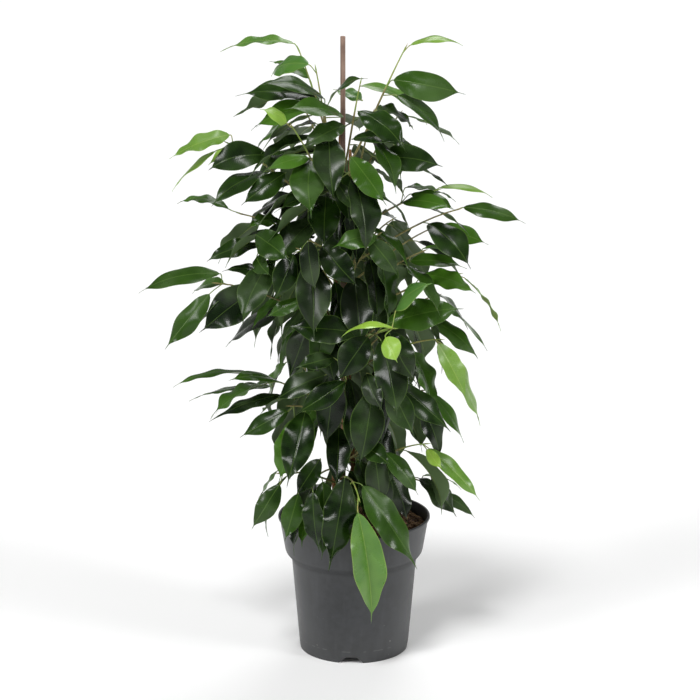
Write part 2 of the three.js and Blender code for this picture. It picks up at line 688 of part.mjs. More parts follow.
// A leaf that is placed by its base and its tip. Its stalk comes from the nearest point of the twig.
function markedLeaf(twig, [baseAt, tipAt, arch, tilt, share, onShoot]) {
  const green = onShoot && twig.shoot.length > 0;
  const first = green ? WOOD_SHARE + ROOT_MARGIN : FIRST_ROOT;
  const last = !green && twig.shoot.length > 0 ? WOOD_SHARE - ROOT_MARGIN : LAST_ROOT;
  let base = vec(...baseAt);
  const away = (t) => twig.path.getPoint(t).distanceTo(base);
  let at = first;
  for (let i = 1; i <= ROOT_STEPS; i += 1) {
    const t = lerp(first, last, i / ROOT_STEPS);
    if (away(t) < away(at)) at = t;
  }
  const root = twig.path.getPoint(at);
  const tip = vec(...tipAt);
  const far = root.distanceTo(base);
  if (far < STALK_LEAST) base.addScaledVector(tip.clone().sub(base).normalize(), STALK_LEAST - far);
  if (far > STALK_MOST) base = root.clone().lerp(base, STALK_MOST / far);
  const chord = tip.clone().sub(base);
  const half = rad(arch) / 2;
  const heading = Math.atan2(chord.y, chord.x);
  const length = (chord.length() * half) / Math.sin(half);
  const wish = {
    root,
    base,
    heading,
    length,
    pitch: Math.asin(chord.z / chord.length()) + half,
    width: length * share,
    bend: 2 * half,
    hook: MARKED_HOOK,
    sway: 0,
    fold: rad(MARKED_FOLD),
    roll: -rad(tilt + MARKED_TILT) * (Math.cos(heading) >= 0 ? 1 : -1),
  };
  return { wish, green, atEnd: at > END_LEAF_FROM };
}

// A leaf that fills the twig. `share` runs from 0 at the twig's foot to 1 at its last such leaf.
function fillingWish(twig, dice, share, hand, last) {
  const t = lerp(FILL_START, last, share);
  const along = twig.path.getTangent(t);
  const fan = hand * dice.around(lerp(...FILL_FAN, share), DRAWS.fan);
  const droop = clamp(dice.around(twig.hang, DRAWS.droop), ...FILL_DROOPS);
  const length = twig.size * dice.around(...DRAWS.length);
  return {
    root: twig.path.getPoint(t),
    heading: Math.atan2(along.y, along.x) + rad(fan),
    pitch: -rad(droop),
    length,
    width: length * dice.around(...DRAWS.width),
    stalk: dice.around(...DRAWS.stalk),
    bend: rad(dice.around(...DRAWS.bend)),
    hook: dice.around(...DRAWS.hook),
    sway: dice.around(...DRAWS.sway),
    fold: rad(dice.around(...DRAWS.fold)),
    roll: rad(dice.around(...DRAWS.roll)),
  };
}

function addMarkedLeaves(twig, crowd) {
  for (const row of twig.leaves) {
    const { wish, green, atEnd } = markedLeaf(twig, row);
    const leaf = settle(wish, green ? twig.name + "_shoot" : twig.name, crowd);
    if (leaf) (green ? twig.shoot : twig.parts).push(leaf);
    twig.tipped ||= Boolean(leaf) && atEnd;
  }
}

function addFillingLeaves(twig, seed, crowd) {
  const dice = new Dice(seed);
  const end = twig.tipped ? FILL_STOP : LAST_ROOT;
  const last = twig.shoot.length > 0 ? Math.min(end, WOOD_SHARE - ROOT_MARGIN) : end;
  let hand = dice.roll() < 0.5 ? 1 : -1;
  for (let i = 0; i < twig.fill; i += 1) {
    hand = -hand;
    const wish = fillingWish(twig, dice, i / (twig.fill - 1), hand, last);
    const leaf = settle(wish, twig.name, crowd);
    if (leaf) twig.parts.push(leaf);
  }
}

function backRows() {
  const rows = [];
  for (let i = 0; i < BACK_TWIGS; i += 1) {
    const share = i / (BACK_TWIGS - 1);
    const from = lerp(...BACK_FROM, share);
    const fan = lerp(BACK_FAN[1], BACK_FAN[0], 4 * share * (1 - share));
    const tip = aboutZ(lerp(...BACK_REACH, share), rad(i % 2 ? 90 + fan : 90 - fan));
    tip.add(vec(BACK_SHIFT, 0, from + BACK_RISE));
    rows.push(["back_" + (i + 1), from, tip, BACK_ARCH, BACK_LEAVES, BACK_SIZE, BACK_HANG, false, []]);
  }
  return rows;
}

function plant() {
  const crowd = new Crowd();
  const stems = STEM_TOPS.map((top, i) => new StemCurve(i, STEM_FOOT, top));
  const cane = rod(CANE.r, CANE.foot, CANE.top, CANE.x, CANE.y, CANE_SIDES);
  const stemSolids = stems.map((stem) => tube(stem, STEM_R, STEM_SIDES, STEM_STEPS));
  const holes = stems.map(({ index }) => {
    const path = new StemCurve(index, STEM_FOOT - GAP, HOLE_TOP_Z);
    return tube(path, STEM_R + GAP, STEM_SIDES, HOLE_STEPS);
  });
  holes.push(rod(CANE.r + GAP, CANE.foot - GAP, HOLE_TOP_Z, CANE.x, CANE.y, CANE_SIDES));
  const pot = potSolid();
  const soil = soilSolid(holes);
  crowd.add(pot, "pot", "wood");
  crowd.add(soil, "soil", "wood");
  crowd.add(cane, "cane", "wood");
  stemSolids.forEach((solid, i) => crowd.add(solid, "stem_" + "abc"[i], "wood"));
  const rows = [...TWIGS, ...backRows()].map(([name, from, tip, arch, fill, size, hang, shoot, leaves]) => (
    { name, from, tip, arch, fill, size, hang, shoot, leaves }));
  const twigs = rows.map((row) => growTwig(row, stems, crowd));
  twigs.forEach((twig) => addMarkedLeaves(twig, crowd));
  twigs.forEach((twig, i) => addFillingLeaves(twig, FIRST_SEED + i, crowd));
  return { pot, soil, cane, stemSolids, twigs };
}

function material(name) {
  return new THREE.MeshStandardMaterial({ name, ...FINISHES[name] });
}

const grown = plant();
const leafGreen = material("leaf");
const youngGreen = material("young");
const bark = material("bark");
const fig = new THREE.Group();
fig.name = "weeping_fig";
fig.add(meshOf("pot", grown.pot, material("pot")));
fig.add(meshOf("soil", grown.soil, material("soil")));
fig.add(meshOf("cane", grown.cane, material("cane")));
grown.stemSolids.forEach((solid, i) => fig.add(meshOf("stem_" + "abc"[i], solid, bark)));
for (const twig of grown.twigs) {
  fig.add(meshOf(twig.name, fused(twig.parts), leafGreen));
  if (twig.shoot.length > 0) fig.add(meshOf(twig.name + "_shoot", fused(twig.shoot), youngGreen));
}

export default fig;
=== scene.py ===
# %% [markdown]
# # A weeping fig in its nursery pot
#
# The object is a slim column of glossy, drip-tipped leaves. They hang from thin twigs that
# leave three stems, and the stems stand round a cane in a dark plastic pot. The packed part
# gives the frame: where every leaf, twig and edge is, in metres. This lesson reads those
# places back from the part and grows finer pieces on them, so nothing has to be fitted.

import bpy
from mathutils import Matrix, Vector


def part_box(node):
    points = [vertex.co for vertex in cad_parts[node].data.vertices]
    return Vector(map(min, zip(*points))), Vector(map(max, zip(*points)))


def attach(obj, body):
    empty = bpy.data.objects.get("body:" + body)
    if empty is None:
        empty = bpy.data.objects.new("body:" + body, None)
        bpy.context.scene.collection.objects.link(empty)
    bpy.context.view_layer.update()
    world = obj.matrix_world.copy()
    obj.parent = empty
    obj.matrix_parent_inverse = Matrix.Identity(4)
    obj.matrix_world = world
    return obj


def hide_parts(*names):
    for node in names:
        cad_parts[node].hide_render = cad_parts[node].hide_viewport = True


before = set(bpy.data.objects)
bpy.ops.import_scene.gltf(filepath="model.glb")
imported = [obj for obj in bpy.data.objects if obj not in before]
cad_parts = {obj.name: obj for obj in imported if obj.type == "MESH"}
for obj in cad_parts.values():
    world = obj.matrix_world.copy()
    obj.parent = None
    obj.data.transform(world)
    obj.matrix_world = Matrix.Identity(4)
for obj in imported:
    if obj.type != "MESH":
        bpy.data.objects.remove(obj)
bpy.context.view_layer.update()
print("pieces in the part:", len(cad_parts))

# %% [markdown]
# ## Tools of the lesson
#
# Blender's own modules build the objects. numpy does the sums on many points at once, and a
# few short helpers turn lists of points into objects. Everything is in metres, so MM turns
# a size in millimetres into one.

# %% Modules and small helpers
import math

import bpy
import numpy as np
from mathutils import Matrix

MM = 0.001


def new_object(name, mesh):
    made = bpy.data.objects.new(name, mesh)
    bpy.context.scene.collection.objects.link(made)
    return made


def mesh_from(name, points, edges=(), faces=()):
    mesh = bpy.data.meshes.new(name)
    mesh.from_pydata(*[[tuple(row) for row in rows] for rows in (points, edges, faces)])
    mesh.update()
    return mesh


def triangle_count(mesh):
    return sum(len(face.vertices) - 2 for face in mesh.polygons)


def unit(vector):
    return vector / np.linalg.norm(vector)


def smoothstep(low, high, value):
    share = np.clip((value - low) / (high - low), 0, 1)
    return share * share * (3 - 2 * share)


print("one unit is a metre, so MM is", MM)

# %% [markdown]
# ## The camera
#
# The photograph was taken from a little above the plant's middle, looking down by about
# fourteen degrees through a long lens. The pot's ellipses give the pitch, and the pot's known
# size gives the distance. No shift and no depth of field are used, so any other view keeps
# the same lens.

# %% Place the camera
PHOTO_SIDE = 700
FOCAL_PIXELS = 2300
SENSOR = 36
VIEW_END = 1000
CAMERA_AT = (-5.6 * MM, -3037 * MM, 1174 * MM)
CAMERA_PITCH = 13.86

lens = bpy.data.cameras.new("camera")
lens.sensor_width = SENSOR
lens.lens = FOCAL_PIXELS / PHOTO_SIDE * SENSOR
lens.clip_end = VIEW_END
camera = new_object("camera", lens)
camera.location = CAMERA_AT
camera.rotation_euler = (math.radians(90 - CAMERA_PITCH), 0, 0)
bpy.context.scene.camera = camera
print("lens", round(lens.lens, 1), "mm")

# %% [markdown]
# ## Sums inside a node tree
#
# Both materials and Geometry Nodes are trees of small sums. Written node by node they fill
# pages. A Field stands for a value inside a tree, and ordinary signs such as + and * add the
# Math nodes, so a formula stays one line.

# %% Field, a value in a tree


def plug(tree, slot, value):
    """Gives an input slot a value, or a link where the value comes from another node."""
    if isinstance(value, Field):
        tree.links.new(value.socket, slot)
    elif isinstance(value, bpy.types.NodeSocket):
        tree.links.new(value, slot)
    else:
        slot.default_value = value


class Field:
    """A number or a vector in a node tree. Signs and methods add the nodes."""

    def __init__(self, tree, socket):
        self.tree = tree
        self.socket = socket

    @property
    def is_vector(self):
        return self.socket.type in ("VECTOR", "RGBA")

    def work(self, operation, *others):
        vector = self.is_vector
        node = self.tree.nodes.new("ShaderNodeVectorMath" if vector else "ShaderNodeMath")
        node.operation = operation
        for slot, value in zip(node.inputs, (self,) + others):
            plug(self.tree, slot, value)
        return Field(self.tree, node.outputs[0])

    def scaled(self, factor):
        node = self.tree.nodes.new("ShaderNodeVectorMath")
        node.operation = "SCALE"
        plug(self.tree, node.inputs[0], self)
        plug(self.tree, node.inputs["Scale"], factor)
        return Field(self.tree, node.outputs[0])

    def __add__(self, other):
        return self.work("ADD", other)

    def __sub__(self, other):
        return self.work("SUBTRACT", other)

    def __mul__(self, other):
        return self.scaled(other) if self.is_vector else self.work("MULTIPLY", other)

    def __truediv__(self, other):
        return self.work("DIVIDE", other)

    def __pow__(self, other):
        return self.work("POWER", other)

    def abs(self):
        return self.work("ABSOLUTE")

    def sin(self):
        return self.work("SINE")

    def cos(self):
        return self.work("COSINE")

    def at_least(self, other):
        return self.work("MAXIMUM", other)

    def at_most(self, other):
        return self.work("MINIMUM", other)

    def step(self, low, high):
        """0 below low, 1 above high, and a smooth rise between them. low may be the larger."""
        node = self.tree.nodes.new("ShaderNodeMapRange")
        node.interpolation_type = "SMOOTHSTEP"
        for slot, value in zip(node.inputs, (self, min(low, high), max(low, high))):
            plug(self.tree, slot, value)
        rise = Field(self.tree, node.outputs[0])
        return rise if low < high else rise * -1.0 + 1.0

    def parts(self):
        node = self.tree.nodes.new("ShaderNodeSeparateXYZ")
        plug(self.tree, node.inputs[0], self)
        return [Field(self.tree, slot) for slot in node.outputs]


print("what a Field can do:", [name for name in vars(Field) if not name.startswith("_")])

# %% [markdown]
# ## A bench for each tree
#
# Nodes that aren't sums are added by name. Most calls only set a few inputs and want the first
# output, so a small class keeps the tree and does that in one line. Materials and Geometry
# Nodes get a class of their own on top of it later.

# %% Bench, which adds the other nodes


class Bench:
    """Adds nodes to one tree."""

    def __init__(self, tree):
        self.tree = tree

    def node(self, kind, values=None, **settings):
        made = self.tree.nodes.new(kind)
        for name, value in settings.items():
            setattr(made, name, value)
        for slot, value in (values or {}).items():
            plug(self.tree, made.inputs[slot], value)
        return made

    def field(self, node, output=0):
        return Field(self.tree, node.outputs[output])

    def made(self, kind, values=None, **settings):
        """The first output of a new node."""
        return self.node(kind, values, **settings).outputs[0]

    def vector(self, x, y, z):
        return Field(self.tree, self.made("ShaderNodeCombineXYZ", {0: x, 1: y, 2: z}))


print("what a Bench can do:", [name for name in vars(Bench) if not name.startswith("_")])

# %% [markdown]
# ## Floor and light
#
# The plant stands in a white studio. A wide pale floor gives the same empty ground. Suns
# with a broad disk act as far-off soft boxes, because they light the whole floor evenly, where
# a lamp close by would leave a bright pool. The three in front are about fifteen degrees
# wide: glossy leaves show them as crisp pale patches, where wider ones would lay a grey veil
# over the whole crown. The key hangs high, and one on each side stands low, where the hanging
# leaves and the pot's wall mirror it. The back light is broader and gives the upper leaves a
# sheen. The world is white along the horizon, like a studio's paper sweep, and dim above, so
# that the dark leaves keep their depth.

# %% Lay the floor and hang the lights
FLOOR_SIZE = 400.0
SKY_DIM = 0.22
SKY_GLOW = 0.78
GLOW_TOP = 0.2
# azimuth (0 is the camera's side, 90 the right), height over the floor, width, strength
SOFT_BOXES = {
    "key": (-20, 62, 14, 1.5),
    "left": (-54, 28, 15, 0.95),
    "right": (60, 26, 15, 0.9),
    "back": (165, 50, 26, 0.75),
}

half_floor = FLOOR_SIZE / 2
corners = [(-half_floor, -half_floor, 0), (half_floor, -half_floor, 0),
           (half_floor, half_floor, 0), (-half_floor, half_floor, 0)]
floor = new_object("floor", mesh_from("floor", corners, faces=[(0, 1, 2, 3)]))

for name, (azimuth, elevation, width, strength) in SOFT_BOXES.items():
    lamp = bpy.data.lights.new(name, "SUN")
    lamp.angle = math.radians(width)
    lamp.energy = strength
    turn = (math.radians(90 - elevation), 0, math.radians(azimuth))
    new_object(name, lamp).rotation_euler = turn

world = bpy.data.worlds.new("studio")
world.use_nodes = True
sky = world.node_tree.nodes["Background"]
sky.inputs["Color"].default_value = (1, 1, 1, 1)
studio = Bench(world.node_tree)
upward = studio.field(studio.node("ShaderNodeTexCoord"), "Generated").parts()[2]
plug(world.node_tree, sky.inputs["Strength"], upward.step(GLOW_TOP, 0.0) * SKY_GLOW + SKY_DIM)
bpy.context.scene.world = world
bpy.context.scene.view_settings.view_transform = "Standard"

# %% [markdown]
# ## Materials
#
# Every finish is a Principled shader whose colour, roughness and bump come from noise and
# stripes on Object coordinates, or on places along a leaf. Colours were judged as the screen
# shows them, so a helper turns them to the linear values that the shader wants.

# %% Helpers for finishes


def linear(red, green, blue):
    """A screen colour, 0 to 255 a channel, as the shader's linear colour."""
    shares = [channel / 255 for channel in (red, green, blue)]
    lit = [s / 12.92 if s <= 0.04045 else ((s + 0.055) / 1.055) ** 2.4 for s in shares]
    return (*lit, 1.0)


class Finish(Bench):
    """A material with one Principled shader, and the nodes that feed it."""

    def __init__(self, name, **constants):
        self.material = bpy.data.materials.new(name)
        self.material.use_nodes = True
        super().__init__(self.material.node_tree)
        self.shader = self.tree.nodes["Principled BSDF"]
        for socket, value in constants.items():
            self.shader.inputs[socket.replace("_", " ")].default_value = value

    def place(self):
        return self.field(self.node("ShaderNodeTexCoord"), "Object")

    def attribute(self, name):
        return self.field(self.node("ShaderNodeAttribute", attribute_name=name), "Vector")

    def noise(self, place, scale, detail=3.0, stretch=None):
        """Cloudy values round a half. The scale is in spots to the metre."""
        if stretch:
            place = place.work("MULTIPLY", stretch)
        values = {"Vector": place, "Scale": scale, "Detail": detail}
        return self.field(self.node("ShaderNodeTexNoise", values), "Fac")

    def mix(self, share, first, second):
        node = self.node("ShaderNodeMix", {"Factor": share}, data_type="RGBA")
        plug(self.tree, node.inputs[6], first)
        plug(self.tree, node.inputs[7], second)
        return node.outputs[2]

    def bump(self, height, depth):
        return self.made("ShaderNodeBump", {"Height": height, "Distance": depth, "Strength": 1.0})

    def give(self, **sockets):
        for socket, value in sockets.items():
            plug(self.tree, self.shader.inputs[socket.replace("_", " ")], value)
        return self.material


PAPER_WHITE = (0.98, 0.98, 0.98, 1)
PAPER_GRAIN = 0.05 * MM

floor_finish = Finish("floor_paper", Roughness=0.9, Base_Color=PAPER_WHITE)
grain = floor_finish.noise(floor_finish.place(), 40.0)
floor.data.materials.append(floor_finish.give(Normal=floor_finish.bump(grain, PAPER_GRAIN)))
print("floor finish:", floor.data.materials[0].name)

# %% [markdown]
# ## The leaf's finish
#
# A grown leaf is a deep green with a waxy gloss. The midrib shows as a pale line, the margin
# as a thin paler rim, which is partly the leaf's own pale margin and partly a painted highlight
# along its edge, and side veins as faint stripes that only the bright leaves show well.
# The blade isn't flat: two slow noises raise and sink it a little, and that breaks the
# highlights up. Here and there a pale grey green is mixed into the colour, partly a film of wax
# and dust and partly a painted sheen, and the gloss is duller there.
# Young leaves are lime and the underside is a dull grey green. The shader reads where it is
# on the blade from attributes that the blade's own tree writes: `blade_place` holds the
# distance across and along in metres and the side, 0 below and 1 on top. `blade_mood` holds
# the share across, the share along and the leaf's tone.

# %% Leaf and young leaf
VEIN_SPACING = 3.0 * MM
VEIN_LEAN = 0.5
VEIN_WOBBLE = 1.6 * MM
MIDRIB_EDGE = (0.8 * MM, 0.25 * MM)
RIM_EDGE = (0.93, 0.985)
# the pale grey green of a wax and dust film and of a painted sheen
WAX_FILM_AND_SHEEN = linear(150, 168, 130)
UNDERSIDE_ROUGHNESS = 0.6
LEAF_RELIEF = 0.22 * MM


def leaf_finish(name, deep, bright, vein_colour, rim_colour, under, gloss, mirror):
    """deep and bright are the blade at tone 0 and 1, gloss its roughness, mirror its shine."""
    leaf = Finish(name, Specular_IOR_Level=mirror)
    across, along, top = leaf.attribute("blade_place").parts()
    share_across, share_along, shade = leaf.attribute("blade_mood").parts()
    place = leaf.place()
    cloud = leaf.noise(place, 55.0)
    sweep = leaf.noise(place, 24.0, detail=1.0)
    fine = leaf.noise(place, 420.0)

    wobble = (cloud - 0.5) * VEIN_WOBBLE
    stripe = (along - across.abs() * VEIN_LEAN + wobble) / VEIN_SPACING * math.tau
    veins = (stripe.sin() * 0.5 + 0.5) ** 5.0
    midrib = across.abs().step(*MIDRIB_EDGE) * share_along.step(1.0, 0.75)
    # a thin band at the margin: partly the leaf's own pale margin, partly a painted highlight
    # along the edge
    margin_and_edge_highlight = share_across.step(*RIM_EDGE)

    tint = (shade + (cloud - 0.5) * 0.22 + (sweep - 0.5) * 0.2).at_least(0.0).at_most(1.0)
    blade = leaf.mix(tint, deep, bright)
    blade = leaf.mix(veins * (tint * 0.12 + 0.015), blade, vein_colour)
    # painted highlight: the margin band is lightened, partly as the leaf's own pale margin
    blade = leaf.mix(margin_and_edge_highlight * 0.4, blade, rim_colour)
    blade = leaf.mix(midrib * (tint * 0.3 + 0.22), blade, vein_colour)
    # patches of pale grey green: partly a film of wax and dust, partly a painted sheen
    film_and_sheen = (sweep * 0.4 + leaf.noise(place, 13.0, detail=1.0) * 0.6).step(0.45, 0.68)
    blade = leaf.mix(film_and_sheen * 0.08, blade, WAX_FILM_AND_SHEEN)
    below = leaf.mix(veins * 0.2 + midrib * 0.4, under, rim_colour)
    colour = leaf.mix(top, below, blade)

    sheen = (fine - 0.5) * 0.04 + (cloud - 0.5) * 0.16 + film_and_sheen * 0.12 + gloss
    roughness = sheen * top + (top * -1.0 + 1.0) * UNDERSIDE_ROUGHNESS
    height = veins * -0.08 + midrib * -0.45 + cloud * 2.4 + sweep * 6.0
    normal = leaf.bump(height, LEAF_RELIEF)
    return leaf.give(Base_Color=colour, Roughness=roughness, Normal=normal)


leaf_material = leaf_finish(
    "leaf_gloss", deep=linear(9, 24, 5), bright=linear(86, 138, 36),
    vein_colour=linear(104, 136, 58), rim_colour=linear(92, 120, 52),
    under=linear(92, 114, 74), gloss=0.21, mirror=0.23)
young_material = leaf_finish(
    "young_leaf_gloss", deep=linear(60, 108, 38), bright=linear(150, 190, 66),
    vein_colour=linear(172, 196, 92), rim_colour=linear(156, 184, 80),
    under=linear(132, 158, 84), gloss=0.27, mirror=0.5)
print("leaf finishes:", leaf_material.name, young_material.name)

# %% [markdown]
# ## Bark, green stalks and the cane
#
# Young fig bark is brown with an orange cast, speckled with pale pores and streaked along the
# stem. Twigs thin out to olive and the leaf stalks stay pale green. The cane is a dyed split
# stick, so its grain runs straight up and its colour is a dull red-brown.

# %% Wood and stalk finishes
BARK_RELIEF = 0.3 * MM
STALK_RELIEF = 0.12 * MM


def bark_finish(name, dark, light, pore_colour, streak):
    """The grain is drawn out along the stem: the smaller streak is, the longer."""
    bark = Finish(name, Specular_IOR_Level=0.3)
    place = bark.place()
    grain = bark.noise(place, 260.0, stretch=(1, 1, streak))
    patches = bark.noise(place, 45.0)
    pores = bark.noise(place, 700.0, detail=1.0).step(0.64, 0.7)
    colour = bark.mix((grain * 0.6 + patches * 0.6).step(0.35, 0.85), dark, light)
    colour = bark.mix(pores * 0.6, colour, pore_colour)
    normal = bark.bump(grain + pores * 0.5, BARK_RELIEF)
    return bark.give(Base_Color=colour, Roughness=grain * 0.2 + 0.62, Normal=normal)


def stalk_finish(name, base, flush):
    stalk = Finish(name, Specular_IOR_Level=0.45)
    place = stalk.place()
    blush = stalk.noise(place, 90.0)
    grain = stalk.noise(place, 600.0)
    colour = stalk.mix(blush.step(0.4, 0.7), base, flush)
    normal = stalk.bump(grain, STALK_RELIEF)
    return stalk.give(Base_Color=colour, Roughness=grain * 0.2 + 0.36, Normal=normal)


stem_material = bark_finish("stem_bark", dark=linear(92, 62, 38), light=linear(158, 112, 70),
                            pore_colour=linear(182, 150, 112), streak=0.16)
twig_material = bark_finish("twig_bark", dark=linear(112, 106, 64), light=linear(166, 158, 104),
                            pore_colour=linear(176, 166, 120), streak=0.5)
cane_material = bark_finish("cane_grain", dark=linear(101, 78, 67), light=linear(155, 130, 115),
                            pore_colour=linear(120, 95, 84), streak=0.03)
stalk_material = stalk_finish("leaf_stalk", linear(104, 128, 60), linear(138, 150, 78))
shoot_material = stalk_finish("green_shoot", linear(136, 164, 72), linear(158, 150, 84))
woods = (stem_material, twig_material, cane_material, stalk_material, shoot_material)
print("wood finishes:", [finish.name for finish in woods])

# %% [markdown]
# ## Reading the leaves back
#
# In the part each leaf is a small closed skin: a tip, three rings of four corners, a ring
# where the stalk meets the blade, and a stalk that is fused into its twig. To walk over that
# skin each corner has to be there once, but the file splits corners between triangles, so
# corners that share a place are made one first. Merge by Distance could do it on a copy of
# the object. Here only the numbers are wanted, and numpy gets them straight from the mesh.

# %% Weld a node
WELD = 0.01 * MM


def welded(node):
    """The corners of a CAD node without repeats, and its triangles."""
    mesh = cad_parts[node].data
    places = np.empty(len(mesh.vertices) * 3)
    mesh.vertices.foreach_get("co", places)
    places = places.reshape(-1, 3)
    keys = np.round(places / WELD).astype(np.int64)
    keys, index = np.unique(keys, axis=0, return_inverse=True)
    index = index.ravel()
    points = np.zeros((len(keys), 3))
    points[index] = places
    mesh.calc_loop_triangles()
    corners = np.empty(len(mesh.loop_triangles) * 3, np.int64)
    mesh.loop_triangles.foreach_get("vertices", corners)
    faces = index[corners.reshape(-1, 3)]
    one, two, three = faces.T
    whole = (one != two) & (two != three) & (three != one)
    return points, faces[whole]


sample_points, sample_faces = welded("left_middle")
print("left_middle has", len(sample_points), "corners and", len(sample_faces), "triangles")

# %% [markdown]
# ## Walking over the rings
#
# A leaf's tip is a corner with just four neighbours and sharp faces, so rings can be peeled
# off from it one by one. Each step takes the corners that touch the last ring and haven't
# been seen yet.

# %% Neighbours, angles and rings
RING_CORNERS = 4
RINGS_TO_STALK = 5
TIP_ANGLE = 150


def neighbours(points, faces):
    near = [set() for _ in points]
    for face in faces:
        for corner in face:
            near[corner].update(int(other) for other in face if other != corner)
    return near


def face_angles(points, faces):
    """The angles of the faces round each corner, added up, in degrees."""
    total = np.zeros(len(points))
    for turn in range(3):
        at, one, two = (points[faces[:, (turn + i) % 3]] for i in range(3))
        one = one - at
        two = two - at
        cosine = (one * two).sum(1) / np.linalg.norm(one, axis=1) / np.linalg.norm(two, axis=1)
        np.add.at(total, faces[:, turn], np.degrees(np.arccos(np.clip(cosine, -1, 1))))
    return total


def rings_from(tip, near, count):
    """Sets of corners at one step, two steps and so on from the tip."""
    rings = [{tip}]
    seen = {tip}
    for _ in range(count):
        ring = set().union(*[near[corner] for corner in rings[-1]]) - seen
        seen |= ring
        rings.append(ring)
    return rings


sample_near = neighbours(sample_points, sample_faces)
sample_angles = face_angles(sample_points, sample_faces)
sharp_corners = [corner for corner, near in enumerate(sample_near)
                 if len(near) == RING_CORNERS and sample_angles[corner] < TIP_ANGLE]
print("corners of left_middle that may be tips:", len(sharp_corners))

# %% [markdown]
# ## The outline of a blade
#
# A fig's blade is round at the base, widest before its middle, and drawn out to a thin drip
# tip that lets rain run off. Two curves make that outline: a broad body that ends at nine
# tenths, and a thin drip that goes on to the tip. The same formula is used twice, here to
# turn the width of a ring into the width of the whole blade, and later in the tree.

# %% Half width along the blade
BASE_ROUND = 0.6
BODY_END = 0.9
TIP_LATE = 2.6
TIP_DRAWN = 1.25
WIDEST = 0.494
DRIP_WIDTH = 0.11
DRIP_TAPER = 0.5
DRIP_FROM = 0.2


def half_width(share):
    """The half width at a share of the length, where 1 is the widest."""
    body = share ** BASE_ROUND * max(0, 1 - (share / BODY_END) ** TIP_LATE) ** TIP_DRAWN / WIDEST
    drip = DRIP_WIDTH * (1 - share) ** DRIP_TAPER * min(1, share / DRIP_FROM)
    return math.hypot(body, drip)


print("half widths:", [round(half_width(tenth / 10), 2) for tenth in range(11)])

# %% [markdown]
# ## From rings to a curve
#
# Five points on the midrib are known: the base, the three stations and the tip. A curve of
# the fourth degree runs through all five, and its coefficients are all that a node tree needs
# to bend a flat grid into that leaf. The widest pair of a ring gives the side direction, and
# how far that pair is lifted gives the fold along the midrib.

# %% Turn a leaf's rings into its curve
STATIONS = (0.2, 0.5, 0.82)
SHARES = np.array([0.0, *STATIONS, 1.0])
TO_CURVE = np.linalg.inv(np.vander(SHARES, 5, increasing=True))


def widest_pair(ring):
    pairs = [(a, b) for i, a in enumerate(ring) for b in ring[i + 1:]]
    return max(pairs, key=lambda pair: np.linalg.norm(pair[0] - pair[1]))


def leaf_from(points, rings):
    """Curve coefficients, side, width and fold of the leaf whose rings these are."""
    loops = [[points[corner] for corner in sorted(ring)] for ring in rings]
    tip = loops[0][0]
    base = np.mean(loops[4], axis=0)
    middles = []
    halves = []
    sides = []
    lifts = []
    for share, ring in zip(STATIONS, (loops[3], loops[2], loops[1])):
        left, right = widest_pair(ring)
        middle = (np.sum(ring, axis=0) - left - right) / 2
        middles.append(middle)
        halves.append(np.linalg.norm(right - left) / 2 / half_width(share))
        sides.append(unit(right - left))
        lifts.append((left + right) / 2 - middle)
    through = np.array([base, *middles, tip])
    side = sides[1]
    ahead = unit(middles[2] - middles[0])
    normal = np.cross(ahead, side)
    if np.dot(normal, lifts[1]) < 0:
        side = -side
    widest = float(np.mean(halves[:2]))
    fold = float(np.linalg.norm(lifts[1]) / half_width(STATIONS[1]) / widest)
    length = float(np.linalg.norm(np.diff(through, axis=0), axis=1).sum())
    return {"curve": TO_CURVE @ through, "through": through, "side": side, "half": widest,
            "fold": fold, "length": length, "joint": np.mean(loops[5], axis=0)}


print("the curve runs through the midrib at these shares of its length:", list(SHARES))

# %% [markdown]
# ## Reading the whole crown
#
# Each node of the crown is read once. A sharp corner counts as a tip where its rings are
# regular and the blade is wide enough, so a twig's bud isn't taken for a leaf. The corners
# that no leaf takes belong to the wood. The leaves are sorted by the height of their tips, so
# that a leaf has a rank by which it can be named later.

# %% Read every node
LEAST_BLADE = 6 * MM
POT_NODES = ("pot", "soil", "cane")


def read_node(node):
    """The leaves of a CAD node, and the corners that belong to its wood."""
    points, faces = welded(node)
    near = neighbours(points, faces)
    angles = face_angles(points, faces)
    leaves = []
    taken = set()
    for corner in range(len(points)):
        if len(near[corner]) != RING_CORNERS or angles[corner] > TIP_ANGLE:
            continue
        rings = rings_from(corner, near, RINGS_TO_STALK)
        if any(len(ring) != RING_CORNERS for ring in rings[1:5]):
            continue
        left, right = widest_pair([points[c] for c in sorted(rings[2])])
        if np.linalg.norm(left - right) < LEAST_BLADE:
            continue
        leaves.append(leaf_from(points, rings))
        taken |= set().union(*rings)
    leaves.sort(key=lambda leaf: leaf["through"][4][2])
    wood = points[[c for c in range(len(points)) if c not in taken]]
    return leaves, wood


CROWN_NODES = [name for name in sorted(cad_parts)
               if name not in POT_NODES and not name.startswith("stem_")]
crown = {name: read_node(name) for name in CROWN_NODES}
all_leaves = [leaf for leaves, _ in crown.values() for leaf in leaves]
print("leaves read:", len(all_leaves), "on", len(crown), "nodes, mean length",
      round(np.mean([leaf["length"] for leaf in all_leaves]) / MM), "mm, mean fold",
      round(math.degrees(np.mean([leaf["fold"] for leaf in all_leaves])), 1), "deg")

# %% [markdown]
# ## The twigs' paths
#
# A twig leaves its stem level and bends up to its tip along one Bezier curve, and a slim bud
# ends it. The cut end by the stem and the point of the bud are plain to find among the
# wood's corners. Only the height of the arch is left, and the value that lays the curve best
# between the corners is taken.

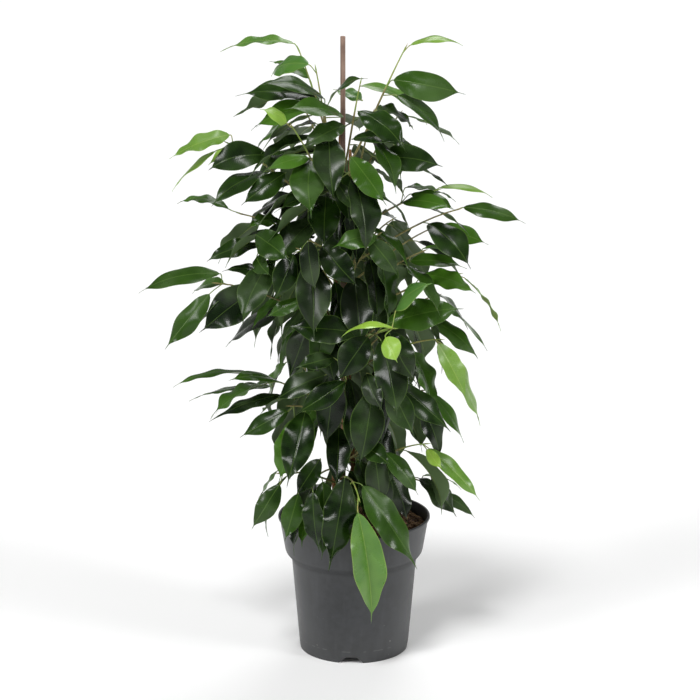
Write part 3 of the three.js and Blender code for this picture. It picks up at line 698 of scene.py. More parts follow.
# %% Fit a curve to each twig
CANE_AT = np.array([-15 * MM, 0])
WOOD_R = 1.7 * MM
COLLAR = 4 * MM
ARCH_AT = 0.55
BUD_BEYOND = 8 * MM
WOOD_SHARE = 0.74
ARCHES = np.arange(0.0, 0.34, 0.005)
TWIG_SIDES = 4
KNOT_ROUNDS = 4
FIT_SAMPLES = 60


def bezier(knots, t):
    t = np.asarray(t, float)[:, None]
    return ((1 - t) ** 3 * knots[0] + 3 * (1 - t) ** 2 * t * knots[1]
            + 3 * (1 - t) * t ** 2 * knots[2] + t ** 3 * knots[3])


def twig_knots(start, bud_point, arch):
    """The curve's four knots. The wood ends a little before the point of the bud."""
    tip = bud_point
    for _ in range(KNOT_ROUNDS):
        run = tip - start
        out = unit(run * (1, 1, 0))
        crest = start + ARCH_AT * run + np.array([0, 0, arch * np.linalg.norm(run)])
        tip = bud_point - BUD_BEYOND * unit(tip - crest)
    return np.array([start, start + COLLAR * out, crest, tip])


def fit_twig(name):
    """The knots of a twig, and how far its wood lies from where they put it."""
    wood = crown[name][1]
    shoot = crown.get(name + "_shoot")
    from_cane = np.linalg.norm(wood[:, :2] - CANE_AT, axis=1)
    start = wood[np.argsort(from_cane)[:TWIG_SIDES]].mean(axis=0)
    far = shoot[1] if shoot else wood
    bud_point = far[np.argmax(np.linalg.norm(far - start, axis=1))]
    stretch = np.linspace(0, WOOD_SHARE if shoot else 1, FIT_SAMPLES)

    def misfit(arch):
        path = bezier(twig_knots(start, bud_point, arch), stretch)
        away = np.linalg.norm(wood[:, None] - path[None], axis=2).min(axis=1)
        return np.median(np.abs(away - WOOD_R))

    arch = min(ARCHES, key=misfit)
    return twig_knots(start, bud_point, arch), misfit(arch)


TWIG_NAMES = [name for name in CROWN_NODES if not name.endswith("_shoot")]
paths = {}
misfits = []
for name in TWIG_NAMES:
    paths[name], off = fit_twig(name)
    misfits.append(off)
print("twig curves:", len(paths), "worst misfit", round(max(misfits) / MM, 2), "mm")

# %% [markdown]
# ## A bench for Geometry Nodes
#
# Three trees grow the plant and its soil: one for twigs, one for stems and cane, and one for
# the crumbs. They share their steps. Each has named inputs, so its sizes can be changed in
# the modifier. Rods are curves with a round section whose radius comes from the point. Edges
# are shaded smooth unless two faces meet steeply. Each tree ends by making its instances
# real, because the export drops them, and by giving out the materials.

# %% Grower, a tree with named inputs
KIND_LEAF = 0
KIND_WOOD = 1
KIND_STALK = 2
KIND_MIDRIB = 3
SHARP_EDGE = math.radians(55)


class Grower(Bench):
    """Adds the nodes of one Geometry Nodes tree."""

    def __init__(self, name, **inputs):
        super().__init__(bpy.data.node_groups.new(name, "GeometryNodeTree"))
        self.socket("Geometry", "Geometry", None, "OUTPUT")
        self.socket("Geometry", "Geometry", None, "INPUT")
        for label, (kind, value) in inputs.items():
            self.socket(label.replace("_", " "), kind, value, "INPUT")
        self.given = self.node("NodeGroupInput").outputs

    def socket(self, name, kind, value, direction):
        made = self.tree.interface.new_socket(
            name, in_out=direction, socket_type="NodeSocket" + kind)
        if value is not None:
            made.default_value = value

    def input(self, name):
        return Field(self.tree, self.given[name])

    def attribute(self, name, data_type="FLOAT"):
        values = {"Name": name}
        node = self.node("GeometryNodeInputNamedAttribute", values, data_type=data_type)
        return self.field(node)

    def vectors(self, name):
        return self.attribute(name, "FLOAT_VECTOR")

    def store(self, geometry, name, value):
        values = {"Geometry": geometry, "Name": name, "Value": value}
        return self.made("GeometryNodeStoreNamedAttribute", values, data_type="FLOAT_VECTOR")

    def is_kind(self, kind):
        values = {0: self.attribute("kind"), 1: float(kind), 2: 0.25}
        return self.made("ShaderNodeMath", values, operation="COMPARE")

    def rods(self, chains, sides):
        """Closed rods along chains of edges. The radius is the points' attribute thick."""
        path = self.made("GeometryNodeMeshToCurve", {"Mesh": chains})
        ring = self.made("GeometryNodeCurvePrimitiveCircle", {"Resolution": sides, "Radius": 1.0})
        values = {"Curve": path, "Profile Curve": ring, "Scale": self.attribute("thick"),
                  "Fill Caps": True}
        return self.made("GeometryNodeCurveToMesh", values)

    def smoothed(self, geometry):
        values = {"Geometry": geometry, "Shade Smooth": True}
        smooth = self.made("GeometryNodeSetShadeSmooth", values)
        values = {0: self.made("GeometryNodeInputMeshEdgeAngle"), 1: SHARP_EDGE}
        sharp = self.made("ShaderNodeMath", values, operation="GREATER_THAN")
        values = {"Geometry": smooth, "Selection": sharp, "Shade Smooth": False}
        return self.made("GeometryNodeSetShadeSmooth", values, domain="EDGE")

    def finished(self, geometry, **coats):
        """Ends the tree. Each coat is a material input and the faces it covers, True for all."""
        geometry = self.made("GeometryNodeRealizeInstances", {"Geometry": geometry})
        for label, chosen in coats.items():
            values = {"Geometry": geometry, "Selection": chosen,
                      "Material": self.given[label.replace("_", " ")]}
            geometry = self.made("GeometryNodeSetMaterial", values)
        self.node("NodeGroupOutput", {"Geometry": geometry})
        return self.tree


print("what a Grower adds:", [name for name in vars(Grower) if not name.startswith("_")])

# %% [markdown]
# ## The midrib and the width inside the tree
#
# Every twig follows the same rule, so one tree grows them all. Its input is a bare mesh: a
# loose point for each leaf, and chains of edges for wood and stalks. A leaf's point carries
# its curve as attributes c0 to c4, the width as half, and a few values for how it bends. Two
# helpers turn them into formulas: where the midrib is at a share v of the length, and how
# wide the blade is there.

# %% Formulas for one blade
# shares of the length where the waves begin and fade
WAVE_IN = (0.0, 0.2)
WAVE_OUT = (1.0, 0.75)
# how fast the waves grow towards the margin, and how far one side's run before the other's
WAVE_GROWTH = 1.8
SIDE_SHIFT = 1.3
CUP = 1.2


def midrib_at(bench, v):
    """The place of the midrib at v, and its slope there."""
    middle = bench.vectors("c4")
    slope = bench.vectors("c4") * 4.0
    for power in (3, 2, 1, 0):
        term = bench.vectors("c%d" % power)
        middle = middle * v + term
        if power:
            slope = slope * v + term * float(power)
    return middle, slope


def half_width_at(bench, v):
    """The half width at v in metres, by the formula of half_width."""
    rest = v * -1.0 + 1.0
    fullness = ((v / BODY_END) ** TIP_LATE * -1.0 + 1.0).at_least(0.0) ** TIP_DRAWN
    body = v ** BASE_ROUND * fullness / WIDEST
    drip = rest.at_least(0.0) ** DRIP_TAPER * (v / DRIP_FROM).at_most(1.0) * DRIP_WIDTH
    return (body * body + drip * drip) ** 0.5 * bench.attribute("half")


def blade_lift(bench, u, v, half):
    """How far the blade stands off its midrib's plane: the fold, the droop and the waves."""
    spread = u.abs()
    height, count, phase = bench.vectors("wave").parts()
    wave = (v * count * math.tau + phase + u.work("SIGN") * SIDE_SHIFT).sin()
    wave = wave * height * spread ** WAVE_GROWTH * v.step(*WAVE_IN) * v.step(*WAVE_OUT)
    fold = spread * bench.attribute("fold") * CUP
    return (fold - spread * spread * bench.attribute("droop")) * half + wave


print("formulas of a blade:", [f.__name__ for f in (midrib_at, half_width_at, blade_lift)])

# %% [markdown]
# ## Bending the blades
#
# Each leaf point gets a closed flat grid, one cell thick. The grids are made real first,
# because only then can every corner move on its own. Then each corner is set to its place on
# the curve. A twist about the midrib, a sideways hook of the tip and a waved margin keep any
# two leaves from looking alike. Two attributes tell the shader later where it is on the
# blade. The blade is thinner at its margin, and corners that meet at its ends are merged.

# %% Blades from grids
# above 1, the cells are narrower at the midrib, where the blade bends most
CROWDING = 1.35
TWIST_FROM = 0.35
HOOK_RANGE = (0.5, 1.0)
GRID_WELD = 0.004 * MM


def blade_grids(bench, points):
    """A closed grid at each leaf point: x across, y along and z through."""
    counts = {"Size": (2, 1, 1), "Vertices Z": 2}
    for axis, label in (("X", "Cells Across"), ("Y", "Cells Along")):
        values = {0: bench.given[label], 1: 1.0}
        counts["Vertices " + axis] = bench.made("ShaderNodeMath", values)
    grid = bench.node("GeometryNodeMeshCube", counts).outputs["Mesh"]
    grid = bench.store(grid, "grid", bench.made("GeometryNodeInputPosition"))
    blades = bench.made("GeometryNodeInstanceOnPoints", {"Points": points, "Instance": grid})
    return bench.made("GeometryNodeRealizeInstances", {"Geometry": blades})


def bent_blades(bench, blades):
    x, y, z = bench.vectors("grid").parts()
    u = x.work("SIGN") * x.abs() ** CROWDING
    v = (y + 0.5).at_least(0.0).at_most(1.0)
    twist, hook, uneven = bench.vectors("bend").parts()
    half = half_width_at(bench, v) * (u * uneven + 1.0)

    middle, slope = midrib_at(bench, v)
    level = bench.vectors("side")
    upright = slope.work("CROSS_PRODUCT", level).work("NORMALIZE")
    turn = (v - TWIST_FROM) * twist
    side = level * turn.cos() + upright * turn.sin()
    normal = upright * turn.cos() - level * turn.sin()
    middle = middle + side * (v.step(*HOOK_RANGE) * hook)

    values = {"Factor": u.abs(), "A": bench.given["Blade Thickness"],
              "B": bench.given["Margin Thickness"]}
    thick = bench.field(bench.node("ShaderNodeMix", values))
    lift = blade_lift(bench, u, v, half) + z * thick
    place = middle + side * (u * half) + normal * lift
    blades = bench.made("GeometryNodeSetPosition", {"Geometry": blades, "Position": place})
    place = bench.vector(u * half, v * bench.attribute("length"), z + 0.5)
    blades = bench.store(blades, "blade_place", place)
    mood = bench.vector(u.abs(), v, bench.attribute("shade"))
    blades = bench.store(blades, "blade_mood", mood)
    return bench.made("GeometryNodeMergeByDistance", {"Geometry": blades, "Distance": GRID_WELD})


def growing_tree():
    bench = Grower("grow_twig", Cells_Across=("Int", 10), Cells_Along=("Int", 28),
                   Blade_Thickness=("Float", 0.6 * MM), Margin_Thickness=("Float", 0.35 * MM),
                   Stalk_Sides=("Int", 8), Blade_Material=("Material", None),
                   Wood_Material=("Material", None), Stalk_Material=("Material", None))
    values = {"Geometry": bench.given["Geometry"], "Selection": bench.is_kind(KIND_LEAF)}
    points, chains = bench.node("GeometryNodeSeparateGeometry", values).outputs
    blades = bent_blades(bench, blade_grids(bench, points))
    rods = bench.rods(chains, bench.given["Stalk Sides"])
    both = bench.node("GeometryNodeJoinGeometry")
    for grown_part in (rods, blades):
        plug(bench.tree, both.inputs[0], grown_part)
    values = {0: bench.attribute("kind"), 1: KIND_LEAF + 0.5}
    is_rod = bench.made("ShaderNodeMath", values, operation="GREATER_THAN")
    return bench.finished(bench.smoothed(both.outputs[0]), Blade_Material=True,
                          Stalk_Material=is_rod, Wood_Material=bench.is_kind(KIND_WOOD))


grow_twig = growing_tree()
print("tree with", len(grow_twig.nodes), "nodes")

# %% [markdown]
# ## The tone of each leaf
#
# Most leaves draw their tone at random. The ones that stand out in the photograph get the
# tone that they have there, judged one by one. A leaf is told by its twig and by its rank,
# counted from the lowest tip. Tones run from 0, the deepest green, to 1, the brightest.

# %% Tones seen in the photograph
# a tone here is the leaf's own green together with how it is lit, so it is partly painted light
# and shade
TONES_SEEN = {
    "top_far_left_shoot": {0: 0.14},
    "top_left_shoot": {0: 0.05},
    "top_right_shoot": {0: 0.5},
    "top_middle_shoot": {0: 0.2, 1: 0.05},
    "top_left": {4: 0.14, 5: 0.16, 6: 0.18},
    "top_right": {1: 0.2, 2: 0.26},
    "top_front_right": {3: 0.08, 4: 0.12, 5: 0.1, 6: 0.1},
    "high_left_front_shoot": {0: 0.7},
    "left_high": {0: 0.08, 3: 0.12, 4: 0.12, 5: 0.08},
    "left_high_shoot": {0: 0.5, 1: 0.9, 2: 0.34},
    "left_high_back": {5: 0.45},
    "left_upper": {3: 0.16, 4: 0.1, 5: 0.16},
    "left_middle": {2: 0.24, 4: 0.08, 5: 0.02, 7: 0.24, 8: 0.06},
    "left_low_front": {3: 0.05, 4: 0.14},
    "left_foot": {3: 0.12},
    "right_high": {2: 0.15},
    "right_high_shoot": {0: 0.45},
    "right_upper": {3: 0.2},
    "right_middle_shoot": {0: 0.3},
    "right_lower_front_shoot": {0: 0.36, 1: 0.42},
    "right_low_shoot": {0: 0.26, 1: 0.9},
    "right_foot": {0: 0.12},
    "front_high": {2: 0.02, 3: 0.05, 4: 0.1, 6: 0.36},
    "front_upper_left": {3: 0.0, 4: 0.02, 5: 0.0, 6: 0.03},
    "front_upper_right": {3: 0.12, 4: 0.34},
    "front_middle": {2: 0.05, 3: 0.04, 4: 0.0, 5: 0.04, 6: 0.3},
    "front_middle_shoot": {0: 0.8, 1: 0.9, 2: 0.05},
    "front_lower_left": {3: 0.05, 4: 0.06, 5: 0.05},
    "front_lower_right": {0: 0.04, 1: 0.05, 2: 0.06, 3: 0.1, 4: 0.02},
    "front_low_left": {2: 0.06, 5: 0.05},
    # rank 0 is raised to a paler green that stands for a broad grey sheen: a painted sheen
    "front_low": {0: 0.24, 1: 0.04},
    "front_low_shoot": {0: 0.16},
}
print("leaves with a tone from the photograph:", sum(len(tones) for tones in TONES_SEEN.values()))

# %% [markdown]
# ## Guides for the tree
#
# A guide is the bare mesh that the tree reads. For a leaf it holds one point with the curve,
# the width, the fold and a few values for its bend and tone. For wood and stalks it holds
# chains of points with a radius each. The values lie on the points as named attributes,
# which is how numbers from a script reach Geometry Nodes.

# %% Collect points, chains and their attributes
NUMBERS = ("kind", "thick", "half", "fold", "droop", "length", "shade")
VECTORS = ("side", "wave", "bend", "c0", "c1", "c2", "c3", "c4")


class Guide:
    """Points, edges and per-point values of one guide mesh."""

    def __init__(self):
        self.points = []
        self.edges = []
        self.values = {name: [] for name in NUMBERS + VECTORS}

    def add_point(self, place, **given):
        self.points.append(place)
        for name, rows in self.values.items():
            rows.append(given.get(name, 0.0 if name in NUMBERS else (0.0, 0.0, 0.0)))

    def add_chain(self, places, radii, kind):
        first = len(self.points)
        for place, radius in zip(places, radii):
            self.add_point(place, kind=kind, thick=radius)
        self.edges += [(i, i + 1) for i in range(first, len(self.points) - 1)]

    def add_leaf(self, leaf, **mood):
        curve = {"c%d" % power: tuple(term) for power, term in enumerate(leaf["curve"])}
        self.add_point(leaf["through"][0], kind=KIND_LEAF, half=leaf["half"], fold=leaf["fold"],
                       length=leaf["length"], side=tuple(leaf["side"]), **mood, **curve)

    def mesh(self, name):
        made = mesh_from(name, self.points, edges=self.edges)
        for label, rows in self.values.items():
            is_number = label in NUMBERS
            kind = "FLOAT" if is_number else "FLOAT_VECTOR"
            layer = made.attributes.new(label, kind, "POINT")
            flat = np.array(rows, dtype=np.float32).ravel()
            layer.data.foreach_set("value" if is_number else "vector", flat)
        return made


print("values on each point of a guide:", NUMBERS + VECTORS)

# %% [markdown]
# ## Stalks and midribs
#
# A stalk springs from the twig's axis, swells a little where it leaves and again where it
# meets the blade. The midrib goes on under the blade, thinner and thinner. It is a rod of its
# own that stands half out of the underside, since a bump alone would leave the leaf flat
# from the side.

# %% Paths of the stalk and the midrib
STALK_R = 0.75 * MM
STALK_SWELL = np.array([1.25, 1.05, 0.95, 0.9, 0.92, 1.0, 1.0])
STALK_RISE = 0.4
STALK_TURN = 0.25
MIDRIB_R = 0.62 * MM
MIDRIB_TIP_R = 0.12 * MM
MIDRIB_END = 0.9
MIDRIB_POINTS = 10
MIDRIB_DEPTH = 0.8


def leaf_normal(leaf, share):
    slope = sum(power * leaf["curve"][power] * share ** (power - 1) for power in range(1, 5))
    return unit(np.cross(slope, leaf["side"]))


def stalk_path(leaf, root):
    """From the twig's axis to the base of the blade, and the radius at each point."""
    base = leaf["through"][0]
    ahead = unit(leaf["curve"][1])
    reach = np.linalg.norm(base - root)
    knots = np.array([root, root + (base - root) * STALK_RISE,
                      base - ahead * reach * STALK_TURN, base])
    return bezier(knots, np.linspace(0, 1, len(STALK_SWELL))), STALK_R * STALK_SWELL


def midrib_path(leaf):
    shares = np.linspace(0.0, MIDRIB_END, MIDRIB_POINTS)
    radii = MIDRIB_R + (MIDRIB_TIP_R - MIDRIB_R) * shares / MIDRIB_END
    places = np.vander(shares, 5, increasing=True) @ leaf["curve"]
    drops = [leaf_normal(leaf, share) * radius for share, radius in zip(shares, radii)]
    return places - np.array(drops) * MIDRIB_DEPTH, radii


longest = max(all_leaves, key=lambda leaf: leaf["length"])
print("the longest midrib starts at", midrib_path(longest)[0][0].round(3), "m")

# %% [markdown]
# ## The habit of each leaf
#
# No two leaves hang alike, so waves, twist, hook and droop are drawn at random, from ranges
# that keep the blade's own width. The seed is fixed, so each run draws the same. The one
# leaf that hangs before the pot is seen best. It has a habit of its own: calmer, folded more
# along its midrib, a little slimmer, and turned about its length to face the viewer.

# %% The guide of one twig
# waves, hook and droop are in shares of the half width, the twist in radians
WAVE_HEIGHT = (0.06, 0.17)
WAVE_COUNT = (1.5, 3.4)
TWIST = 0.75
HOOK = 0.2
UNEVEN = 0.07
DROOP = 0.3
# most tones are low, and leaves on the last third of a twig are brighter
TONE_DRAW = (0.5, 2.9)
TONE_REACH = 0.9
YOUTH_FROM = 0.7
YOUTH_DRAW = (0.2, 1.0)
YOUTH_REACH = 0.6
USUAL_HABIT = {"calm": 1.0, "least_fold": 0.14, "broader": 1.0, "turn": 0.0}
HABITS = {"front_low_shoot": {"calm": 0.8, "least_fold": 0.6, "broader": 0.96, "turn": 0.4}}


def turned_about(vector, axis, angle):
    """A vector turned about a unit axis, by radians."""
    along = np.dot(vector, axis) * axis
    return along + (vector - along) * math.cos(angle) + np.cross(axis, vector) * math.sin(angle)


def put_in_habit(leaf, habit):
    ahead = unit(leaf["through"][4] - leaf["through"][0])
    leaf["half"] *= habit["broader"]
    leaf["side"] = turned_about(leaf["side"], ahead, habit["turn"])
    leaf["fold"] = max(leaf["fold"], habit["least_fold"])


def guide_for(leaves, twig_path, shades, tones, habit, seed):
    """The guide of a twig's leaves. Tones are given by rank, shades are the usual range."""
    guide = Guide()
    draw = np.random.default_rng(seed)
    calm = habit["calm"]
    for rank, leaf in enumerate(leaves):
        put_in_habit(leaf, habit)
        wave = (calm * draw.uniform(*WAVE_HEIGHT) * leaf["half"], draw.uniform(*WAVE_COUNT),
                draw.uniform(0, math.tau))
        twist = calm * draw.uniform(-TWIST, TWIST)
        hook = calm * draw.uniform(-HOOK, HOOK) * leaf["half"]
        uneven = draw.uniform(-UNEVEN, UNEVEN)
        droop = calm * draw.uniform(0.0, DROOP)
        nearest = np.argmin(np.linalg.norm(twig_path - leaf["joint"], axis=1))
        youth = float(smoothstep(YOUTH_FROM, 1.0, nearest / len(twig_path)))
        tone = TONE_REACH * draw.beta(*TONE_DRAW)
        share = min(1.0, tone + YOUTH_REACH * youth * draw.uniform(*YOUTH_DRAW))
        shade = tones.get(rank, shades[0] + (shades[1] - shades[0]) * share)
        guide.add_leaf(leaf, shade=shade, wave=wave, bend=(twist, hook, uneven), droop=droop)
        guide.add_chain(*stalk_path(leaf, twig_path[nearest]), KIND_STALK)
        guide.add_chain(*midrib_path(leaf), KIND_MIDRIB)
    return guide


print("twigs with a habit of their own:", list(HABITS))

# %% [markdown]
# ## From a guide to a piece
#
# A modifier's inputs are set by the identifiers of their sockets, before the object is first
# evaluated. The evaluated result is kept as a plain mesh, and the modifier goes with the
# guide, so that nothing live is left on a finished piece.

# %% Run a tree and keep its mesh


def set_inputs(modifier, **values):
    """Sets a modifier's inputs by the identifiers of their sockets."""
    for item in modifier.node_group.interface.items_tree:
        key = item.name.replace(" ", "_")
        if item.in_out == "INPUT" and key in values:
            modifier[item.identifier] = values[key]


def plain_result(target):
    """The target's evaluated mesh. Its modifiers are removed."""
    bpy.context.view_layer.update()
    evaluated = target.evaluated_get(bpy.context.evaluated_depsgraph_get())
    result = bpy.data.meshes.new_from_object(evaluated)
    target.modifiers.clear()
    return result


def grown(name, mesh, tree, **inputs):
    """A plain mesh object made by a tree from a guide mesh."""
    guide = new_object(name + "_guide", mesh)
    modifier = guide.modifiers.new("grow", "NODES")
    modifier.node_group = tree
    set_inputs(modifier, **inputs)
    result = plain_result(guide)
    result.name = name
    bpy.data.objects.remove(guide)
    return new_object(name, result)


print("inputs of a twig:", [item.name for item in grow_twig.interface.items_tree])

# %% [markdown]
# ## Grow the crown
#
# Each twig of the part gets its guide, and the tree grows it. A twig's own chain starts
# inside its stem and thins towards the bud. Where the twig ends in a green shoot, the shoot is
# a piece of its own that starts where the wood stops. The leaves at the front are deep green
# in the photograph, so their usual range of tones ends early.

# %% Grow every twig and shoot
FIRST_SEED = 11
SHOOT_SEEDS = 100
PATH_SAMPLES = 120
CHAIN_POINTS = 14
STEM_TO_TWIG = 3.6 * MM
TWIG_ROOT_R = 1.75 * MM
TWIG_END_R = 0.95 * MM
WOOD_END_R = 1.3 * MM
SHOOT_ROOT_R = 1.2 * MM
SHOOT_END_R = 0.8 * MM
BUD_LENGTH = 10 * MM
# shares of the bud's length, and the radius there in shares of the twig's last one
BUD_SHAPE = ((0.1, 1.25), (0.3, 1.2), (0.6, 0.75), (0.85, 0.35), (1.0, 0.08))
FULL_SHADES = (0.0, 1.0)
FRONT_SHADES = (0.0, 0.4)


def wood_chain(path, from_radius, to_radius, budded):
    """Places and radii of a twig, with its bud if it has one."""
    radii = list(np.linspace(from_radius, to_radius, len(path)))
    places = list(path)
    if budded:
        ahead = unit(path[-1] - path[-2])
        for share, swell in BUD_SHAPE:
            places.append(path[-1] + ahead * BUD_LENGTH * share)
            radii.append(to_radius * swell)
    return places, radii


def grow_piece(name, twig, stretch, radii, is_shoot, seed):
    """Grows the leaves and the wood on one stretch of a twig's path."""
    knots = paths[twig]
    dense = bezier(knots, np.linspace(*stretch, PATH_SAMPLES))
    usual = FRONT_SHADES if name.startswith("front") and not is_shoot else FULL_SHADES
    guide = guide_for(crown[name][0], dense, usual, TONES_SEEN.get(name, {}),
                      HABITS.get(name, USUAL_HABIT), seed)
    chain = bezier(knots, np.linspace(*stretch, CHAIN_POINTS))
    if not is_shoot:
        inside = chain[0] - unit(chain[1] - chain[0]) * STEM_TO_TWIG
        chain = np.vstack([inside, chain])
    budded = is_shoot or twig + "_shoot" not in crown
    guide.add_chain(*wood_chain(chain, *radii, budded), KIND_WOOD)
    piece = grown(name + "_fine", guide.mesh(name), grow_twig,
                  Blade_Material=young_material if is_shoot else leaf_material,
                  Wood_Material=shoot_material if is_shoot else twig_material,
                  Stalk_Material=shoot_material if is_shoot else stalk_material)
    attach(piece, "root")
    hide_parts(name)
    return piece


crown_pieces = []
for seed, twig in enumerate(TWIG_NAMES, FIRST_SEED):
    shoot = twig + "_shoot"
    has_shoot = shoot in crown
    stretch = (0, WOOD_SHARE if has_shoot else 1)
    radii = (TWIG_ROOT_R, WOOD_END_R if has_shoot else TWIG_END_R)
    crown_pieces.append(grow_piece(twig, twig, stretch, radii, False, seed))
    if has_shoot:
        radii = (SHOOT_ROOT_R, SHOOT_END_R)
        crown_pieces.append(
            grow_piece(shoot, twig, (WOOD_SHARE, 1), radii, True, seed + SHOOT_SEEDS))
counts = [triangle_count(piece.data) for piece in crown_pieces]
print("crown:", len(crown_pieces), "pieces,", sum(counts), "triangles, largest", max(counts))

# %% [markdown]
# ## Rods
#
# Stems and cane are both round rods along a path, so one tree grows them: a curve, a round
# section, and small knobs from noise that push the skin out or in along its normal. The
# noise has four coordinates. The fourth is the seed, which gives each rod knobs of its own.

# %% A tree for rods


def rod_tree():
    bench = Grower("round_rod", Sides=("Int", 20), Knobs=("Float", 0.25 * MM),
                   Seed=("Float", 1.0), Bark=("Material", None))
    rod = bench.rods(bench.given["Geometry"], bench.given["Sides"])
    values = {"W": bench.given["Seed"], "Scale": 60.0, "Detail": 2.0}
    noise = bench.node("ShaderNodeTexNoise", values, noise_dimensions="4D")
    lift = (bench.field(noise, "Fac") - 0.5) * bench.input("Knobs") * 2.0
    normal = bench.field(bench.node("GeometryNodeInputNormal"))
    values = {"Geometry": rod, "Offset": normal * lift}
    rod = bench.made("GeometryNodeSetPosition", values)
    return bench.finished(bench.smoothed(rod), Bark=True)


def rod_piece(name, node, places, radii, finish, seed, knobs):
    guide = Guide()
    guide.add_chain(places, radii, KIND_WOOD)
    piece = grown(name, guide.mesh(name), round_rod, Bark=finish, Seed=seed, Knobs=knobs)
    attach(piece, "root")
    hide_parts(node)
    return piece


round_rod = rod_tree()
print("tree with", len(round_rod.nodes), "nodes")

# %% [markdown]
# ## The stems
#
# The three stems are long round rods in a slow twist, a little thicker at the soil. The part
# has them with six sides, so each ring of six corners gives one point of the path, and
# averaging each point with its neighbours takes the bends out.

# %% Grow the stems
STEM_SIDES = 6
STEM_FOOT_R = 3.7 * MM
STEM_TOP_R = 2.7 * MM
STEM_POINTS = 90
STEM_TIP_TAPER = (0.95, 0.8, 0.5)
STEM_KNOBS = 0.3 * MM
SOFTENING = 40


def ring_centres(name):
    points, _ = welded(name)
    points = points[np.argsort(points[:, 2])]
    return points.reshape(-1, STEM_SIDES, 3).mean(axis=1)


def between(path, count):
    """The path with count points at equal steps of height."""
    heights = np.linspace(path[0, 2], path[-1, 2], count)
    return np.stack([np.interp(heights, path[:, 2], path[:, axis]) for axis in range(3)], axis=1)


def soften(path, rounds):
    """Rounds the corners of a path and keeps its ends."""
    for _ in range(rounds):
        path[1:-1] = (path[:-2] + 2 * path[1:-1] + path[2:]) / 4
    return path


stems = []
for index, letter in enumerate("abc"):
    centres = soften(between(ring_centres("stem_" + letter), STEM_POINTS), SOFTENING)
    thicknesses = np.linspace(STEM_FOOT_R, STEM_TOP_R, len(centres))
    thicknesses[-len(STEM_TIP_TAPER):] *= STEM_TIP_TAPER
    stems.append(rod_piece("stem_%s_bark" % letter, "stem_" + letter, centres, thicknesses,
                           stem_material, float(index), STEM_KNOBS))
print("stems:", [triangle_count(stem.data) for stem in stems], "triangles")

# %% [markdown]
# ## The cane
#
# The cane is a straight stick, cut square at the top with its edge worn round. The same tree
# grows it from a straight chain. Its last two rings are narrower, and that is the worn edge.

# %% Grow the cane
CANE_R = 3.4 * MM
CANE_RINGS = 60
CANE_KNOBS = 0.12 * MM
CANE_SEED = 7.0
WORN_FROM = 1.2 * MM
WORN_EDGE = 0.4 * MM
WORN_SHARES = (0.96, 0.84)

low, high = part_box("cane")
cane_heights = [*np.linspace(low.z, high.z - WORN_FROM, CANE_RINGS), high.z - WORN_EDGE, high.z]
cane_places = [(*CANE_AT, height) for height in cane_heights]
cane_radii = [CANE_R] * CANE_RINGS + [CANE_R * share for share in WORN_SHARES]
cane = rod_piece("cane_stick", "cane", cane_places, cane_radii, cane_material,
                 CANE_SEED, CANE_KNOBS)
print("cane:", triangle_count(cane.data), "triangles")

# %% [markdown]
# ## Tools for turned shapes
#
# A pot and the soil in it are shapes of revolution. A lathe helper sweeps a profile of radii
# and heights round the axis and closes it at both ends. Corners of a moulded thing are never
# quite sharp, so a second helper rounds each corner of a profile by a small curve. Blender's
# Screw modifier could turn the profile as well, but it leaves the poles and the normals to
# be mended.

# %% Lathe and rounded corners
ROUND_STEPS = 5
MOST_CUT = 0.45


def rounded(corners):
    """Rounds a profile. A corner is x and y in metres, and how far back it is cut in mm."""
    points = [np.array(corner[:2], float) for corner in corners]
    smooth = [points[0]]
    for before, corner, after, given in zip(points, points[1:], points[2:], corners[1:]):
        back = before - corner
        on = after - corner
        reach = min(np.linalg.norm(back), np.linalg.norm(on))
        depth = min(given[2] * MM, MOST_CUT * reach)
        start = corner + unit(back) * depth
        end = corner + unit(on) * depth
        for t in np.linspace(0, 1, ROUND_STEPS):
            smooth.append((1 - t) ** 2 * start + 2 * t * (1 - t) * corner + t ** 2 * end)
    return smooth + [points[-1]]


def lathe_faces(steps, rows):
    """Faces of a closed lathe: point 0 is the lower pole, then the rows of each step."""
    last = 1 + steps * rows
    faces = []
    for step in range(steps):
        here = 1 + step * rows
        there = 1 + (step + 1) % steps * rows
        faces.append((0, there, here))
        for row in range(rows - 1):
            faces.append((here + row, there + row, there + row + 1, here + row + 1))
        faces.append((here + rows - 1, there + rows - 1, last))
    return faces


def turned(name, profile, steps):
    """A closed solid of revolution. The profile starts and ends on the axis, lowest first."""
    inner = profile[1:-1]
    points = [(0, 0, profile[0][1])]
    for step in range(steps):
        angle = math.tau * step / steps
        points += [(r * math.cos(angle), r * math.sin(angle), z) for r, z in inner]
    points.append((0, 0, profile[-1][1]))
    return new_object(name, mesh_from(name, points, faces=lathe_faces(steps, len(inner))))


print("a turned bead has", len(lathe_faces(12, 3)), "faces")

# %% [markdown]
# ## The pot's measures
#
# A nursery pot is one thin shell of moulded plastic: a tapered body, a wide collar above it
# and a rolled lip. Its floor is raised over four channels so that water can leave at the
# base, and they show as low notches in the wall. All of its sizes are the part's.

# %% Sizes of the pot
POT_HEIGHT = 191 * MM
RIM_R = 105 * MM
COLLAR_TOP_R = 103.5 * MM
COLLAR_LOW_R = 95 * MM
COLLAR_LOW_Z = 140 * MM
BODY_TOP_R = 86.5 * MM
BODY_TOP_Z = 131 * MM
BASE_R = 75.4 * MM
WALL = 1.6 * MM
POT_FLOOR = 2.2 * MM
LIP_HEIGHT = 4 * MM
LIP_STEP = 0.6
NOTCH_HEIGHT = 9 * MM
NOTCH_FOOT = 34 * MM
NOTCH_TOP = 15 * MM
NOTCH_SHOULDER = 3
CHANNEL_START = 46 * MM
DRAIN_HOLE_R = 4 * MM
DRAIN_HOLE_AT = 60 * MM
DRAIN_HOLE_STEPS = 24
FIRST_DRAIN = -3
POT_STEPS = 144
